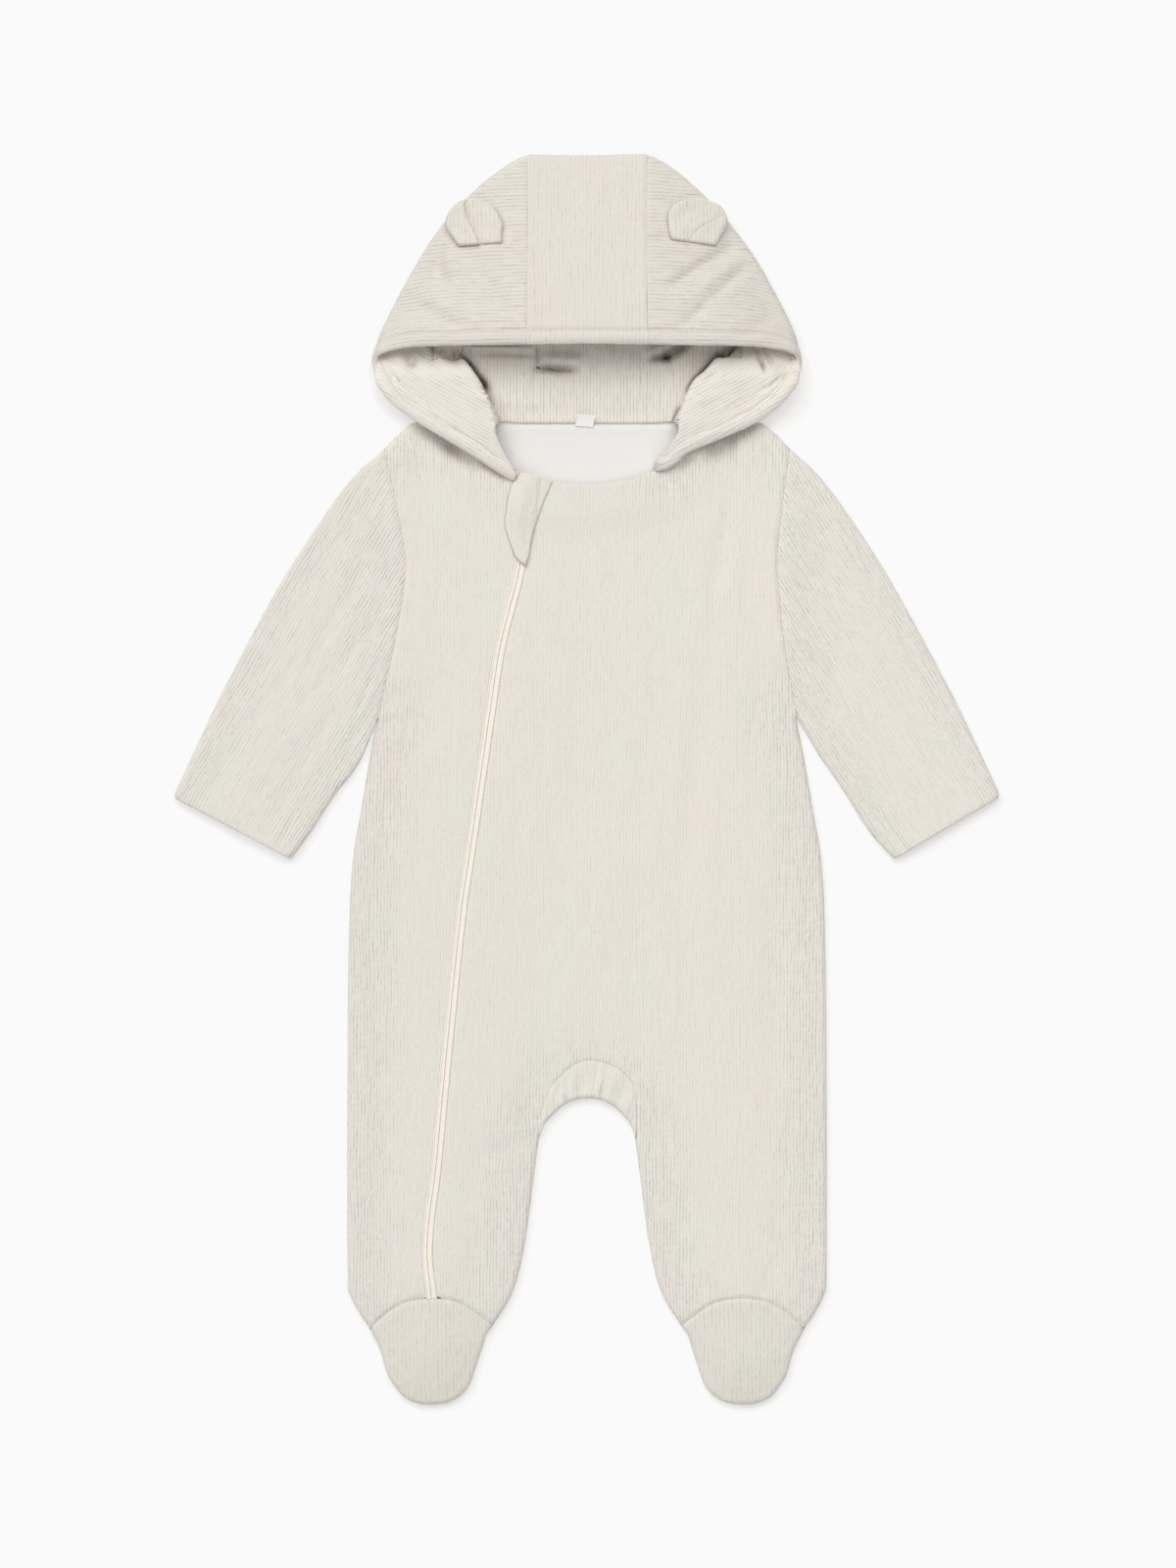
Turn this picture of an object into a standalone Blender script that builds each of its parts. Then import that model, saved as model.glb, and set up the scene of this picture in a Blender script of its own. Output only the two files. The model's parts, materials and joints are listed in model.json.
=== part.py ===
"""A baby's hooded, footed pramsuit in padded crinkled cotton, laid flat on its back.

The tables are in millimetres and the meshes in metres. +Z points up off the surface, +Y towards the
hood's crown and +X to the viewer's right. "Left" and "right" are the viewer's. Each cloth piece is one
closed wall with its true outline, and neighbours stay SEAM_GAP apart.
"""
import math

import bpy
import numpy as np
from mathutils import Vector
from mathutils.geometry import delaunay_2d_cdt

MM = 0.001

# Cloth, in mm
SEAM_GAP = 0.3
WALL = 3.0                 # padded body cloth
HOOD_PLY = 1.8             # one layer of the hood: shell or lining
EDGE_ROUND = 4.0           # how far in from the silhouette the cloth rounds over
EDGE_LIP = 0.9             # upright part of that edge
SLACK = 0.5                # least air between front and back, beyond the seam gap
PUFF = 1.2                 # extra air in the middle of the body
BOUNDARY_STEP = 9.0        # mesh step along a flat piece's edge
INNER_STEP = 19.0          # mesh step inside a flat piece

# Half outlines, mirrored unless a side is named: columns are half width, height
SIDE_EDGE = [(119.5, 33.6), (123.6, 14), (129.5, -20), (133.3, -42), (135.4, -72), (136.6, -135),
             (136.8, -277), (135.2, -294), (130.5, -304), (124.2, -313.4)]
INNER_LEG = [(27.6, -206), (28.6, -214), (30.3, -227), (32.4, -243.6), (34.6, -260), (38.4, -280),
             (42.5, -293), (47.4, -302.4), (53.6, -311.6)]
FOOT_SEAM = [(124.2, -313.8), (118, -308), (111.4, -302.6), (101.9, -298), (88.5, -296.3),
             (76.7, -297.7), (68.9, -300.8), (61.6, -306.1), (53.6, -312)]
TOE_EDGE = [(53.6, -312), (57.3, -317), (59.6, -324.2), (63.3, -335.4), (66.6, -345), (71.1, -351.1),
            (78.4, -355.6), (87.5, -357.2), (96.5, -356.6), (104.7, -352.8), (110.3, -346.1),
            (114.2, -339.4), (118.2, -325.9), (124.2, -313.8)]
SHOULDER = [(115.9, 188.7), (107, 197.6), (97.4, 204), (78, 205.6), (58, 202.5)]
ARMHOLES = {
    "left": [(115.9, 188.7), (109.2, 157.9), (104.2, 130), (103.8, 115), (108.6, 84), (114.2, 57.7),
             (119.8, 33.6)],
    "right": [(115.9, 188.7), (112, 160), (108.6, 128), (110.6, 95), (114, 68), (120.1, 35)],
}
# Sleeve sections: outer edge x, y and inner edge x, y, from the armhole to the cuff
SLEEVES = {
    "left": [(115.9, 188.7, 119.8, 33.6), (136, 169.8, 127.7, 14), (159, 137.2, 134.4, 2.8),
             (179.8, 103.6, 143.4, -8.4), (209.4, 47.6, 157.9, -30.8), (236.6, -10.4, 169.1, -45.9)],
    "right": [(115.9, 188.7, 120.1, 35), (134.6, 170.8, 132.2, 14), (158.5, 137.2, 140, 2.8),
              (178.8, 103.6, 148.5, -10), (208.9, 47.6, 161.8, -30.8), (236.4, -10, 175.3, -45.9)],
}
SLEEVE_ROWS = 12           # sections along each sleeve
SLEEVE_COLUMNS = np.concatenate([[0, 0.02, 0.03], np.linspace(0.1, 0.9, 10), [0.97, 0.98, 1]])
UNDER_COLUMNS = [0, 1, 4, 7, 10, 12, 13]  # the flat underside keeps these of the inner columns
CUFF_FLARE = 0.6           # extra air at the cuff's opening
LEAST_AIR = 0.15           # between a sleeve's two sides

# Neck and zip, in mm, left to right or top to bottom
NECK_LEFT = [(-58, 202.5), (-56.5, 194), (-51.6, 184.6), (-44.6, 177.6), (-36.4, 175.2)]
NECK_RIGHT = [(-28.2, 172.4), (-19, 170.2), (0.6, 168.6), (20, 170.6), (37, 175.6), (50, 184), (56.5, 194),
              (58, 202.5)]
NAPE = 202.5
NECK_LINING = [(-52.4, 202.2), (52.4, 202.2), (51.6, 190), (38, 171), (18, 161), (0, 158.5), (-20, 160.5),
               (-38, 168), (-51.6, 190)]
LINING_PLY = 1.0
NECK_LIFT = 1.3            # the front rises this much over the white lining
ZIP_LINE = [(-32, 172.6), (-38.1, 123.2), (-44.2, 97.4), (-48.7, 79.5), (-52.6, 57.1), (-66.1, -36.4),
            (-72.2, -79), (-80.1, -156.2), (-85.7, -216.2), (-87.9, -234.6), (-90.2, -252),
            (-91.3, -272.7), (-88.7, -295.4)]
ZIP_TAPE = 3.1             # width of one tape's ridge
ZIP_RISE = 0.8             # ridge above the cloth
GUARD_LEFT = [(-38.1, 175.4), (-43.7, 166.5), (-46.5, 152), (-47, 144.5), (-43.7, 133.8), (-40.3, 126)]
GUARD_TIP = (-35.4, 122)
GUARD_RIGHT = [(-19.6, 170), (-24.6, 158.5), (-27.4, 150.6), (-31.4, 137.8), (-33.4, 126.8)]
GUARD_PLY = 1.8
GUARD_AIR = 0.5
GUARD_DOME = 0.5
GUARD_TIP_WIDTH = (3.0, -0.6)
SLIDER = (6.6, 10.5, 1.6)  # width, length, thickness
SLIDER_AT = (-33.9, 157)
TAB = (10.0, 6.4, 0.6)     # size tab
TAB_AT = (-1.1, 204.4)

# Gusset: the seam to the fronts and backs, and the crotch's edge
GUSSET_SEAM = [(-27.2, -198), (-23.8, -184), (-19.3, -174), (-8, -163.4), (1.1, -160.4), (12, -162.4),
               (22.2, -168.8), (27.6, -178), (28.2, -197)]
CROTCH_EDGE = [(-27.4, -205.6), (-24.3, -197.5), (-18.5, -190.6), (-10, -184.4), (0.6, -182.4),
               (10.5, -184.2), (20.2, -191.5), (25.4, -198.6), (27.6, -205.6)]
GUSSET_GATHERS = 7
GATHER_DEPTH = 0.7
GUSSET_COUNT = 4 * GUSSET_GATHERS + 1

# Soft troughs in the body front: from x, y to x, y, half width, depth
FRONT_FOLDS = [(84, 172, 72, 104, 5.5, 1.0), (72, 104, 56, -60, 7.5, 0.8), (60, 150, 40, 20, 9, 0.35),
               (-92, 160, -80, 40, 8, 0.5), (-112, -40, -104, -190, 9, 0.5), (110, -60, 104, -220, 9, 0.6),
               (10, 120, -20, -90, 14, 0.35), (36, -180, 66, -262, 8, 0.6), (-30, -205, -58, -216, 4, 0.8),
               (28, -60, 36, -150, 10, 0.3)]
# Sleeve troughs: along the sleeve from, to, across it from, to (0 to 1 each), half width mm, depth
SLEEVE_FOLDS = [(0.10, 0.55, 0.30, 0.42, 7, 0.9), (0.06, 0.45, 0.52, 0.60, 6, 0.8),
                (0.45, 0.95, 0.70, 0.74, 6, 0.6), (0.55, 1.00, 0.34, 0.30, 8, 0.5)]

# Hood, a row for each meridian of one half, mirrored, from the top's middle to the front neck:
# rim x, y, z; outermost fold x, y; fold's lowest z; turn of the fold in degrees; neck x, y, z
HOOD_ROWS = [
    (0.0, 247.0, 36.0, 0.0, 356.7, 1.95, 165, 0.0, 203.0, 1.95),
    (34.4, 245.6, 35.3, 34.2, 356.2, 1.95, 165, 29.5, 203.0, 1.95),
    (62.0, 243.4, 32.0, 66.5, 333.2, 1.95, 165, 39.5, 203.1, 1.95),
    (84.0, 241.2, 27.0, 92.6, 302.0, 1.95, 163, 44.5, 203.6, 2.10),
    (102.0, 239.4, 21.5, 110.0, 272.0, 2.6, 160, 47.5, 203.6, 2.40),
    (114.5, 238.0, 18.0, 119.0, 253.0, 5.6, 150, 49.8, 203.3, 3.40),
    (122.8, 236.6, 14.6, 123.2, 237.0, 11.5, 60, 51.4, 202.9, 5.00),
    (119.3, 222.9, 14.0, 119.3, 222.9, 14.0, 0, 52.0, 200.8, 6.60),
    (99.7, 205.0, 13.6, 99.7, 205.0, 13.6, 0, 51.2, 195.0, 6.60),
    (73.9, 188.9, 12.9, 73.9, 188.9, 12.9, 0, 47.0, 186.0, 6.60),
]
# The last row, where each cheek's rim meets the front neck
HOOD_ENDS = {
    "left": (46.4, 171.6, 11.9, 46.4, 171.6, 11.9, 0, 41.0, 178.2, 6.60),
    "right": (41.0, 175.4, 11.9, 41.0, 175.4, 11.9, 0, 38.4, 181.8, 6.60),
}
HOOD_SEAM_ROW = 1          # the centre strip ends at this row
HOOD_STATIONS = (1.7, 2.4, 3.1, 3.8, 4.4, 4.9, 5.25, 5.5, 5.75, 6.0, 6.3, 6.7, 7.3, 8.0, 8.7, 9.4)
SEAM_INSET = 0.006         # of a row, on each side of that seam
HOOD_HALF = SEAM_GAP / 2 + HOOD_PLY  # from the middle of the two layers to their outsides
FOLD_RADIUS = 3.0
TOP_TURN = (1.0, 2.5)      # radians of fold between which the forehead's cloth appears
# The cheek flap's inner crest, its height and the place where it sinks below the forehead
CREST = [(76.5, 247.0), (70.0, 237.5), (62.8, 229.0), (57.0, 216.2), (53.0, 203.3), (47.0, 190.0),
         (40.0, 176.0)]
CREST_HEIGHT = 17.5
CHEEK_HEIGHT = 13.6
CREST_STEEP = 7.0
CHEEK_FADE = (240.0, 266.0)
CHEEK_REST = 10.9          # least height of its middle where it lies on the front
NECK_CLIMB = 2.6           # it climbs over the neck's edge in this length
CHEEK_END = 11.6           # its height at the front neck, reached between these two y
CHEEK_NARROW = (168.0, 205.0)
# Columns of the hood's grid near a cheek's edge, where nothing folds: (least length, share of the whole)
RIM_BAND = (1.5, 0.16)
NEXT_BAND = (1.5, 0.09)
# Hood troughs: x, y to x, y, half width, depth
HOOD_FOLDS = [(85.7, 305.8, 45.9, 278.9, 4.5, 1.5), (92, 296, 60, 268, 5, 1.0),
              (-70, 300, -46, 268, 6, 0.8), (-100, 268, -70, 258, 6, 0.7), (14, 340, 10, 285, 9, 0.5)]

# Ears: the two sides of the outline from the dart seam to the tip
EARS = {
    "left": ([(-73.4, 303.5), (-80.1, 313.6), (-80.6, 318.1), (-78.5, 323.4), (-74.5, 328.2), (-69, 330.6)],
             [(-48.2, 305.2), (-48.6, 310), (-48.2, 315.8), (-50.4, 321.4), (-54.9, 327), (-62.5, 330.4)]),
    "right": ([(47.6, 307), (46.4, 313), (45.9, 321.4), (48.4, 326), (53.4, 329.2), (59, 330.8)],
              [(73.4, 303.8), (78.4, 313), (80.2, 318), (79, 322.4), (75.6, 327), (66, 331)]),
}
EAR_PLY = 2.8
EAR_LIFT = 4.5             # rise of the tip over the dart seam
EAR_HOLLOW = {"left": 3.4, "right": 2.4}
EAR_AIR = 0.6

# Colours: linear base colour, roughness
COTTON = ((0.775, 0.730, 0.655), 0.92)
FOOT_COTTON = ((0.74, 0.70, 0.625), 0.92)
LINING_COTTON = ((0.74, 0.69, 0.60), 0.92)
WHITE_JERSEY = ((0.86, 0.855, 0.82), 0.9)
TAPE_CREAM = ((0.83, 0.77, 0.66), 0.75)
SATIN_WHITE = ((0.9, 0.9, 0.88), 0.6)


# ---- curves -----------------------------------------------------------------------------------

def spline(points, at):
    """Catmull-Rom curve through the rows of points, one row for each whole number, read at `at`."""
    rows = np.asarray(points, float)
    rows = np.vstack([2 * rows[0] - rows[1], rows, 2 * rows[-1] - rows[-2]])
    at = np.clip(np.asarray(at, float), 0, len(rows) - 3)
    base = np.minimum(at.astype(int), len(rows) - 4)
    t = (at - base)[:, None]
    a, b, c, d = rows[base], rows[base + 1], rows[base + 2], rows[base + 3]
    return 0.5 * (2 * b + (c - a) * t + (2 * a - 5 * b + 4 * c - d) * t ** 2
                  + (3 * b - a - 3 * c + d) * t ** 3)


def by_length(path, count=None, step=None):
    """The dense path resampled to evenly spaced points."""
    lengths = np.concatenate([[0], np.cumsum(np.linalg.norm(np.diff(path, axis=0), axis=1))])
    if count is None:
        count = max(2, int(round(lengths[-1] / step)) + 1)
    marks = np.linspace(0, lengths[-1], count)
    return np.stack([np.interp(marks, lengths, path[:, k]) for k in range(path.shape[1])], axis=1)


def smooth(points, count=None, step=None):
    dense = spline(points, np.linspace(0, len(points) - 1, 24 * len(points)))
    return by_length(dense, count, step)


def mirrored(points):
    return [(-row[0],) + tuple(row[1:]) for row in points]


def signed(points, side):
    return mirrored(points) if side == "left" else list(points)


def shifted(path, distance):
    """The path moved sideways, to its left as it runs."""
    along = np.gradient(path, axis=0)
    along /= np.linalg.norm(along, axis=1)[:, None]
    return path + distance * np.stack([-along[:, 1], along[:, 0]], axis=1)


def distance_to(points, paths):
    """Least distance from each point to any of the polylines."""
    best = np.full(len(points), 1e9)
    for path in paths:
        for a, b in zip(path[:-1], path[1:]):
            span = b - a
            t = np.clip(((points - a) @ span) / max(span @ span, 1e-9), 0, 1)
            best = np.minimum(best, np.linalg.norm(points - (a + t[:, None] * span), axis=1))
    return best


def inside(points, outline):
    """Which points lie within the closed outline."""
    x, y = points[:, 0], points[:, 1]
    found = np.zeros(len(points), bool)
    for (ax, ay), (bx, by) in zip(outline, np.roll(outline, -1, axis=0)):
        crosses = (ay > y) != (by > y)
        with np.errstate(divide="ignore", invalid="ignore"):
            found ^= crosses & (x < (bx - ax) * (y - ay) / (by - ay) + ax)
    return found


def ease(value, low, high):
    t = np.clip((value - low) / (high - low), 0, 1)
    return t * t * (3 - 2 * t)


# ---- meshes -----------------------------------------------------------------------------------

def material(name, look):
    colour, roughness = look
    made = bpy.data.materials.new(name)
    made.use_nodes = True
    shader = made.node_tree.nodes["Principled BSDF"]
    shader.inputs["Base Color"].default_value = (*colour, 1)
    shader.inputs["Roughness"].default_value = roughness
    shader.inputs["Metallic"].default_value = 0
    return made


def solid(name, points, faces, look):
    """A closed triangle mesh with its faces turned outwards, as a new object."""
    points = np.asarray(points, float)
    faces = np.asarray(faces, int)
    a, b, c = (points[faces[:, k]] for k in range(3))
    if np.einsum("ij,ij->i", a, np.cross(b, c)).sum() < 0:
        faces = faces[:, ::-1]
    mesh = bpy.data.meshes.new(name)
    mesh.from_pydata((points * MM).tolist(), [], faces.tolist())
    mesh.materials.append(material(name, look))
    mesh.shade_smooth()
    mesh.set_sharp_from_angle(angle=math.radians(50))
    piece = bpy.data.objects.new(name, mesh)
    bpy.context.scene.collection.objects.link(piece)
    return piece


def grid_faces(rows, columns, start=0, ring=False):
    """Two triangles for each cell of a grid of points; a ring joins its last column to its first."""
    faces = []
    for i in range(rows - 1):
        for j in range(columns if ring else columns - 1):
            a = start + i * columns + j
            b = start + i * columns + (j + 1) % columns
            faces += [(a, b, b + columns), (a, b + columns, a + columns)]
    return faces


def wall(name, outer, inner, look, ring=False):
    """A cloth wall between two grids of points with the same rows and columns."""
    rows, columns = outer.shape[:2]
    size = rows * columns
    faces = grid_faces(rows, columns, 0, ring)
    faces += [face[::-1] for face in grid_faces(rows, columns, size, ring)]
    ends = [[i * columns + j for j in range(columns)] + ([i * columns] if ring else [])
            for i in (0, rows - 1)]
    loops = [(ends[0], 1), (ends[1], -1)]
    if not ring:
        loops += [([i * columns for i in range(rows)], -1),
                  ([i * columns + columns - 1 for i in range(rows)], 1)]
    for loop, turn in loops:
        for a, b in zip(loop[:-1], loop[1:]):
            quad = [(a, a + size, b + size), (a, b + size, b)]
            faces += [face[::turn] for face in quad]
    points = np.concatenate([outer.reshape(-1, 3), inner.reshape(-1, 3)])
    return solid(name, points, faces, look)


def flat_piece(name, outline, top, bottom, look, rounded=(), step=INNER_STEP, turns=(0.3, 1.05)):
    """A cloth wall over a closed outline, with heights read from two functions of the plan points.

    Beside the rounded edges it has more rows of points, at `turns` of EDGE_ROUND, so its edge can turn over.
    """
    outline = np.asarray(outline)
    following = np.roll(outline, -1, axis=0)
    if (outline[:, 0] * following[:, 1] - following[:, 0] * outline[:, 1]).sum() < 0:
        outline = outline[::-1]
    tangent = np.roll(outline, -1, axis=0) - np.roll(outline, 1, axis=0)
    tangent /= np.linalg.norm(tangent, axis=1)[:, None]
    inward = np.stack([-tangent[:, 1], tangent[:, 0]], axis=1)
    edge = np.concatenate([outline, outline[:1]])
    plan = [outline]
    if rounded:
        near = distance_to(outline, rounded) < 0.5
        for depth in EDGE_ROUND * np.array(turns):
            row = (outline + depth * inward)[near]
            row = row[inside(row, outline)]
            plan.append(row[distance_to(row, [edge]) > 0.93 * depth])
    low, high = outline.min(axis=0), outline.max(axis=0)
    lattice = []
    for k, y in enumerate(np.arange(low[1], high[1], step * 0.866)):
        for x in np.arange(low[0] + (k % 2) * step / 2, high[0], step):
            lattice.append((x, y))
    lattice = np.array(lattice)
    lattice = lattice[inside(lattice, outline)]
    clear = 1.05 * EDGE_ROUND + 0.45 * step if rounded else 0.55 * step
    plan.append(lattice[distance_to(lattice, [edge]) > clear])
    plan = np.concatenate(plan)
    found = delaunay_2d_cdt([Vector(p) for p in plan.tolist()], [], [list(range(len(outline)))], 1, 1e-4)
    plan = np.array([tuple(v) for v in found[0]])
    faces = np.array(found[2])
    if np.cross(plan[faces[0, 1]] - plan[faces[0, 0]], plan[faces[0, 2]] - plan[faces[0, 0]]) < 0:
        faces = faces[:, ::-1]
    size = len(plan)
    sides = {}
    for face in faces.tolist():
        for a, b in zip(face, face[1:] + face[:1]):
            sides[(a, b)] = True
    rim = [(a, b) for a, b in sides if (b, a) not in sides]
    joined = [tuple(face) for face in faces.tolist()]
    joined += [tuple(v + size for v in face[::-1]) for face in faces.tolist()]
    for a, b in rim:
        joined += [(a, a + size, b + size), (a, b + size, b)]
    points = np.concatenate([np.column_stack([plan, top(plan)]), np.column_stack([plan, bottom(plan)])])
    return solid(name, points, joined, look)


# ---- body -------------------------------------------------------------------------------------

def troughs(points, folds):
    """Summed depth of the soft troughs at each plan point; each fades out at its ends."""
    depth = np.zeros(len(points))
    for ax, ay, bx, by, half_width, deep in folds:
        start, span = np.array((ax, ay)), np.array((bx - ax, by - ay))
        along = ((points - start) @ span) / (span @ span)
        across = ((points - start) @ np.array((-span[1], span[0]))) / np.linalg.norm(span)
        fade = ease(along, -0.15, 0.25) * (1 - ease(along, 0.75, 1.15))
        depth += deep * fade * np.exp(-(across / half_width) ** 2)
    return depth


def curve_table():
    """Every plan curve of the body, in mm, by name."""
    made = {}
    for side in ("left", "right"):
        made["side", side] = smooth(signed(SIDE_EDGE, side), step=BOUNDARY_STEP * 1.3)
        made["leg", side] = smooth(signed(INNER_LEG, side), step=BOUNDARY_STEP)
        made["foot_seam", side] = smooth(signed(FOOT_SEAM, side), step=BOUNDARY_STEP)
        made["toe", side] = smooth(signed(TOE_EDGE, side), step=BOUNDARY_STEP * 0.8)
        made["shoulder", side] = smooth(signed(SHOULDER, side), step=BOUNDARY_STEP)
        made["armhole", side] = smooth(signed(ARMHOLES[side], side), step=BOUNDARY_STEP * 1.2)
    made["zip"] = smooth(ZIP_LINE, step=BOUNDARY_STEP * 2.2)
    made["gusset"] = smooth(GUSSET_SEAM, GUSSET_COUNT)
    made["crotch"] = smooth(CROTCH_EDGE, GUSSET_COUNT)
    return made


CURVES = curve_table()
SILHOUETTE = [CURVES[name, side] for name in ("side", "leg", "toe", "shoulder") for side in ("left", "right")]
SILHOUETTE.append(CURVES["crotch"])
NECK_EDGE = [smooth(NECK_LEFT, step=6), smooth(NECK_RIGHT, step=6)]


def air_between(points):
    """Air between front and back, above the seam gap: least at the edges, more over the white lining."""
    from_edge = distance_to(points, SILHOUETTE)
    middle = PUFF * ease(from_edge, 4, 55) - troughs(points, FRONT_FOLDS)
    lift = NECK_LIFT * (1 - ease(distance_to(points, NECK_EDGE), 14, 34))
    body = np.maximum(SLACK * ease(from_edge, 0, 12) + np.maximum(middle, 0), 0)
    return body + lift * ease(from_edge, 4, 16)


def round_over(points, full, edge):
    """Height that runs from `edge` at the silhouette to `full` EDGE_ROUND further in."""
    t = 1 - np.clip(distance_to(points, SILHOUETTE) / EDGE_ROUND, 0, 1)
    return edge + (full - edge) * np.sqrt(np.maximum(1 - t * t, 0))


def front_low(points):
    return WALL + SEAM_GAP + air_between(points)


def front_high(points):
    return round_over(points, front_low(points) + WALL, WALL + SEAM_GAP + EDGE_LIP)


def back_high(points):
    return np.full(len(points), WALL)


def back_low(points):
    return round_over(points, np.zeros(len(points)), WALL - EDGE_LIP)


def joined_path(*paths):
    """One closed outline from paths laid end to end; a point that repeats its neighbour is dropped."""
    path = np.concatenate(paths)
    gap = np.linalg.norm(path - np.roll(path, 1, axis=0), axis=1)
    return path[gap > 0.6]


def armhole(side):
    """The armhole's edge on the body, a seam gap inside the sleeve's, from the underarm upwards."""
    inward = SEAM_GAP if side == "left" else -SEAM_GAP
    return (CURVES["armhole", side] + (inward, 0))[::-1]


def foot_edge(side, part=slice(None)):
    return CURVES["foot_seam", side][part] + (0, SEAM_GAP)


def torso():
    """Back, two fronts, white neck lining."""
    gusset_edge = shifted(CURVES["gusset"], SEAM_GAP)
    zip_left = shifted(CURVES["zip"], -(ZIP_TAPE + 1.5 * SEAM_GAP))
    zip_right = shifted(CURVES["zip"], ZIP_TAPE + 1.5 * SEAM_GAP)
    left_seam = CURVES["foot_seam", "left"]
    outer_part = left_seam[left_seam[:, 0] < zip_left[-1, 0] - 2] + (0, SEAM_GAP)
    inner_part = left_seam[left_seam[:, 0] > zip_right[-1, 0] + 2] + (0, SEAM_GAP)
    nape = np.array([(x, NAPE) for x in np.linspace(58, -58, 10)])
    back = joined_path(nape, CURVES["shoulder", "left"][::-1], armhole("left")[::-1], CURVES["side", "left"],
                       foot_edge("left"), CURVES["leg", "left"][::-1], gusset_edge, CURVES["leg", "right"],
                       foot_edge("right")[::-1], CURVES["side", "right"][::-1], armhole("right"),
                       CURVES["shoulder", "right"])
    flat_piece("back_panel", back, back_high, back_low, COTTON, SILHOUETTE, INNER_STEP * 1.6, (0.8,))
    side = joined_path(NECK_EDGE[0], zip_left, outer_part[::-1], CURVES["side", "left"][::-1],
                       armhole("left"), CURVES["shoulder", "left"])
    flat_piece("front_side", side, front_high, front_low, COTTON, SILHOUETTE)
    main = joined_path(zip_right[::-1], NECK_EDGE[1], CURVES["shoulder", "right"][::-1],
                       armhole("right")[::-1], CURVES["side", "right"], foot_edge("right"),
                       CURVES["leg", "right"][::-1], gusset_edge[::-1], CURVES["leg", "left"],
                       inner_part[::-1])
    flat_piece("front_main", main, front_high, front_low, COTTON, SILHOUETTE)
    lining = np.array(NECK_LINING)
    low = WALL + SEAM_GAP
    flat_piece("neck_lining", by_length(np.vstack([lining, lining[:1]]), step=10)[:-1],
               lambda p: np.full(len(p), low + LINING_PLY), lambda p: np.full(len(p), low), WHITE_JERSEY)


def gusset():
    """One wall folded round the crotch's edge, with gathers that fade towards the fold."""
    count = GUSSET_COUNT
    seam = CURVES["gusset"]
    edge = CURVES["crotch"]
    turns = np.radians(np.linspace(-90, 90, 5))
    outer, inner = [], []
    for k, (start, end) in enumerate(zip(seam, edge)):
        out = (end - start) / np.linalg.norm(end - start)
        high = front_low(start[None])[0] + WALL
        ripple = GATHER_DEPTH * math.cos(2 * math.pi * GUSSET_GATHERS * k / (count - 1))
        ends_fade = min(1.0, 5 * k / (count - 1), 5 * (count - 1 - k) / (count - 1))
        reach = np.linalg.norm(end - start)
        half = high / 2
        bend = min(half, 0.6 * reach)
        low_gap, high_gap = WALL, WALL + SEAM_GAP + 0.1
        outside = [(t * (reach - bend), 0.0) for t in (0, 0.5)]
        outside += [(reach - bend + bend * math.cos(a), half + half * math.sin(a)) for a in turns]
        outside += [(t * (reach - bend), high + ripple * ends_fade * (0.35 + 0.65 * (1 - t))) for t in (0.5, 0)]
        far = max(reach - WALL * 0.9, 0.45 * reach)
        inside_run = [(t * far, low_gap) for t in (0, 0.5, 0.8, 1)]
        inside_run += [(far + 0.15, (low_gap + high_gap) / 2)]
        inside_run += [(t * far, high_gap + (1 - t) * (high - WALL - high_gap)) for t in (1, 0.8, 0.5, 0)]
        outer.append([(*(start + out * r), z) for r, z in outside])
        inner.append([(*(start + out * r), z) for r, z in inside_run])
    wall("crotch_gusset", np.array(outer), np.array(inner), COTTON)


def feet():
    """Two soles flat on the surface and two domed uppers, joined along the toe's edge."""
    for side in ("left", "right"):
        seam = CURVES["foot_seam", side]
        outline = joined_path(seam, CURVES["toe", side])
        middle = np.array((88.5 * (-1 if side == "left" else 1), -330))

        def upper_low(points, middle=middle):
            puff = 2.2 * np.exp(-(np.linalg.norm(points - middle, axis=1) / 20) ** 2)
            return front_low(points) + puff * ease(distance_to(points, SILHOUETTE), 0, 10)

        def upper_high(points, low=upper_low):
            return round_over(points, low(points) + WALL, WALL + SEAM_GAP + EDGE_LIP)

        toes = [CURVES["toe", side]]
        flat_piece("foot_upper_" + side, outline, upper_high, upper_low, FOOT_COTTON, toes, 11)
        flat_piece("foot_sole_" + side, outline, back_high, back_low, FOOT_COTTON, toes, 18, (0.8,))


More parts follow.
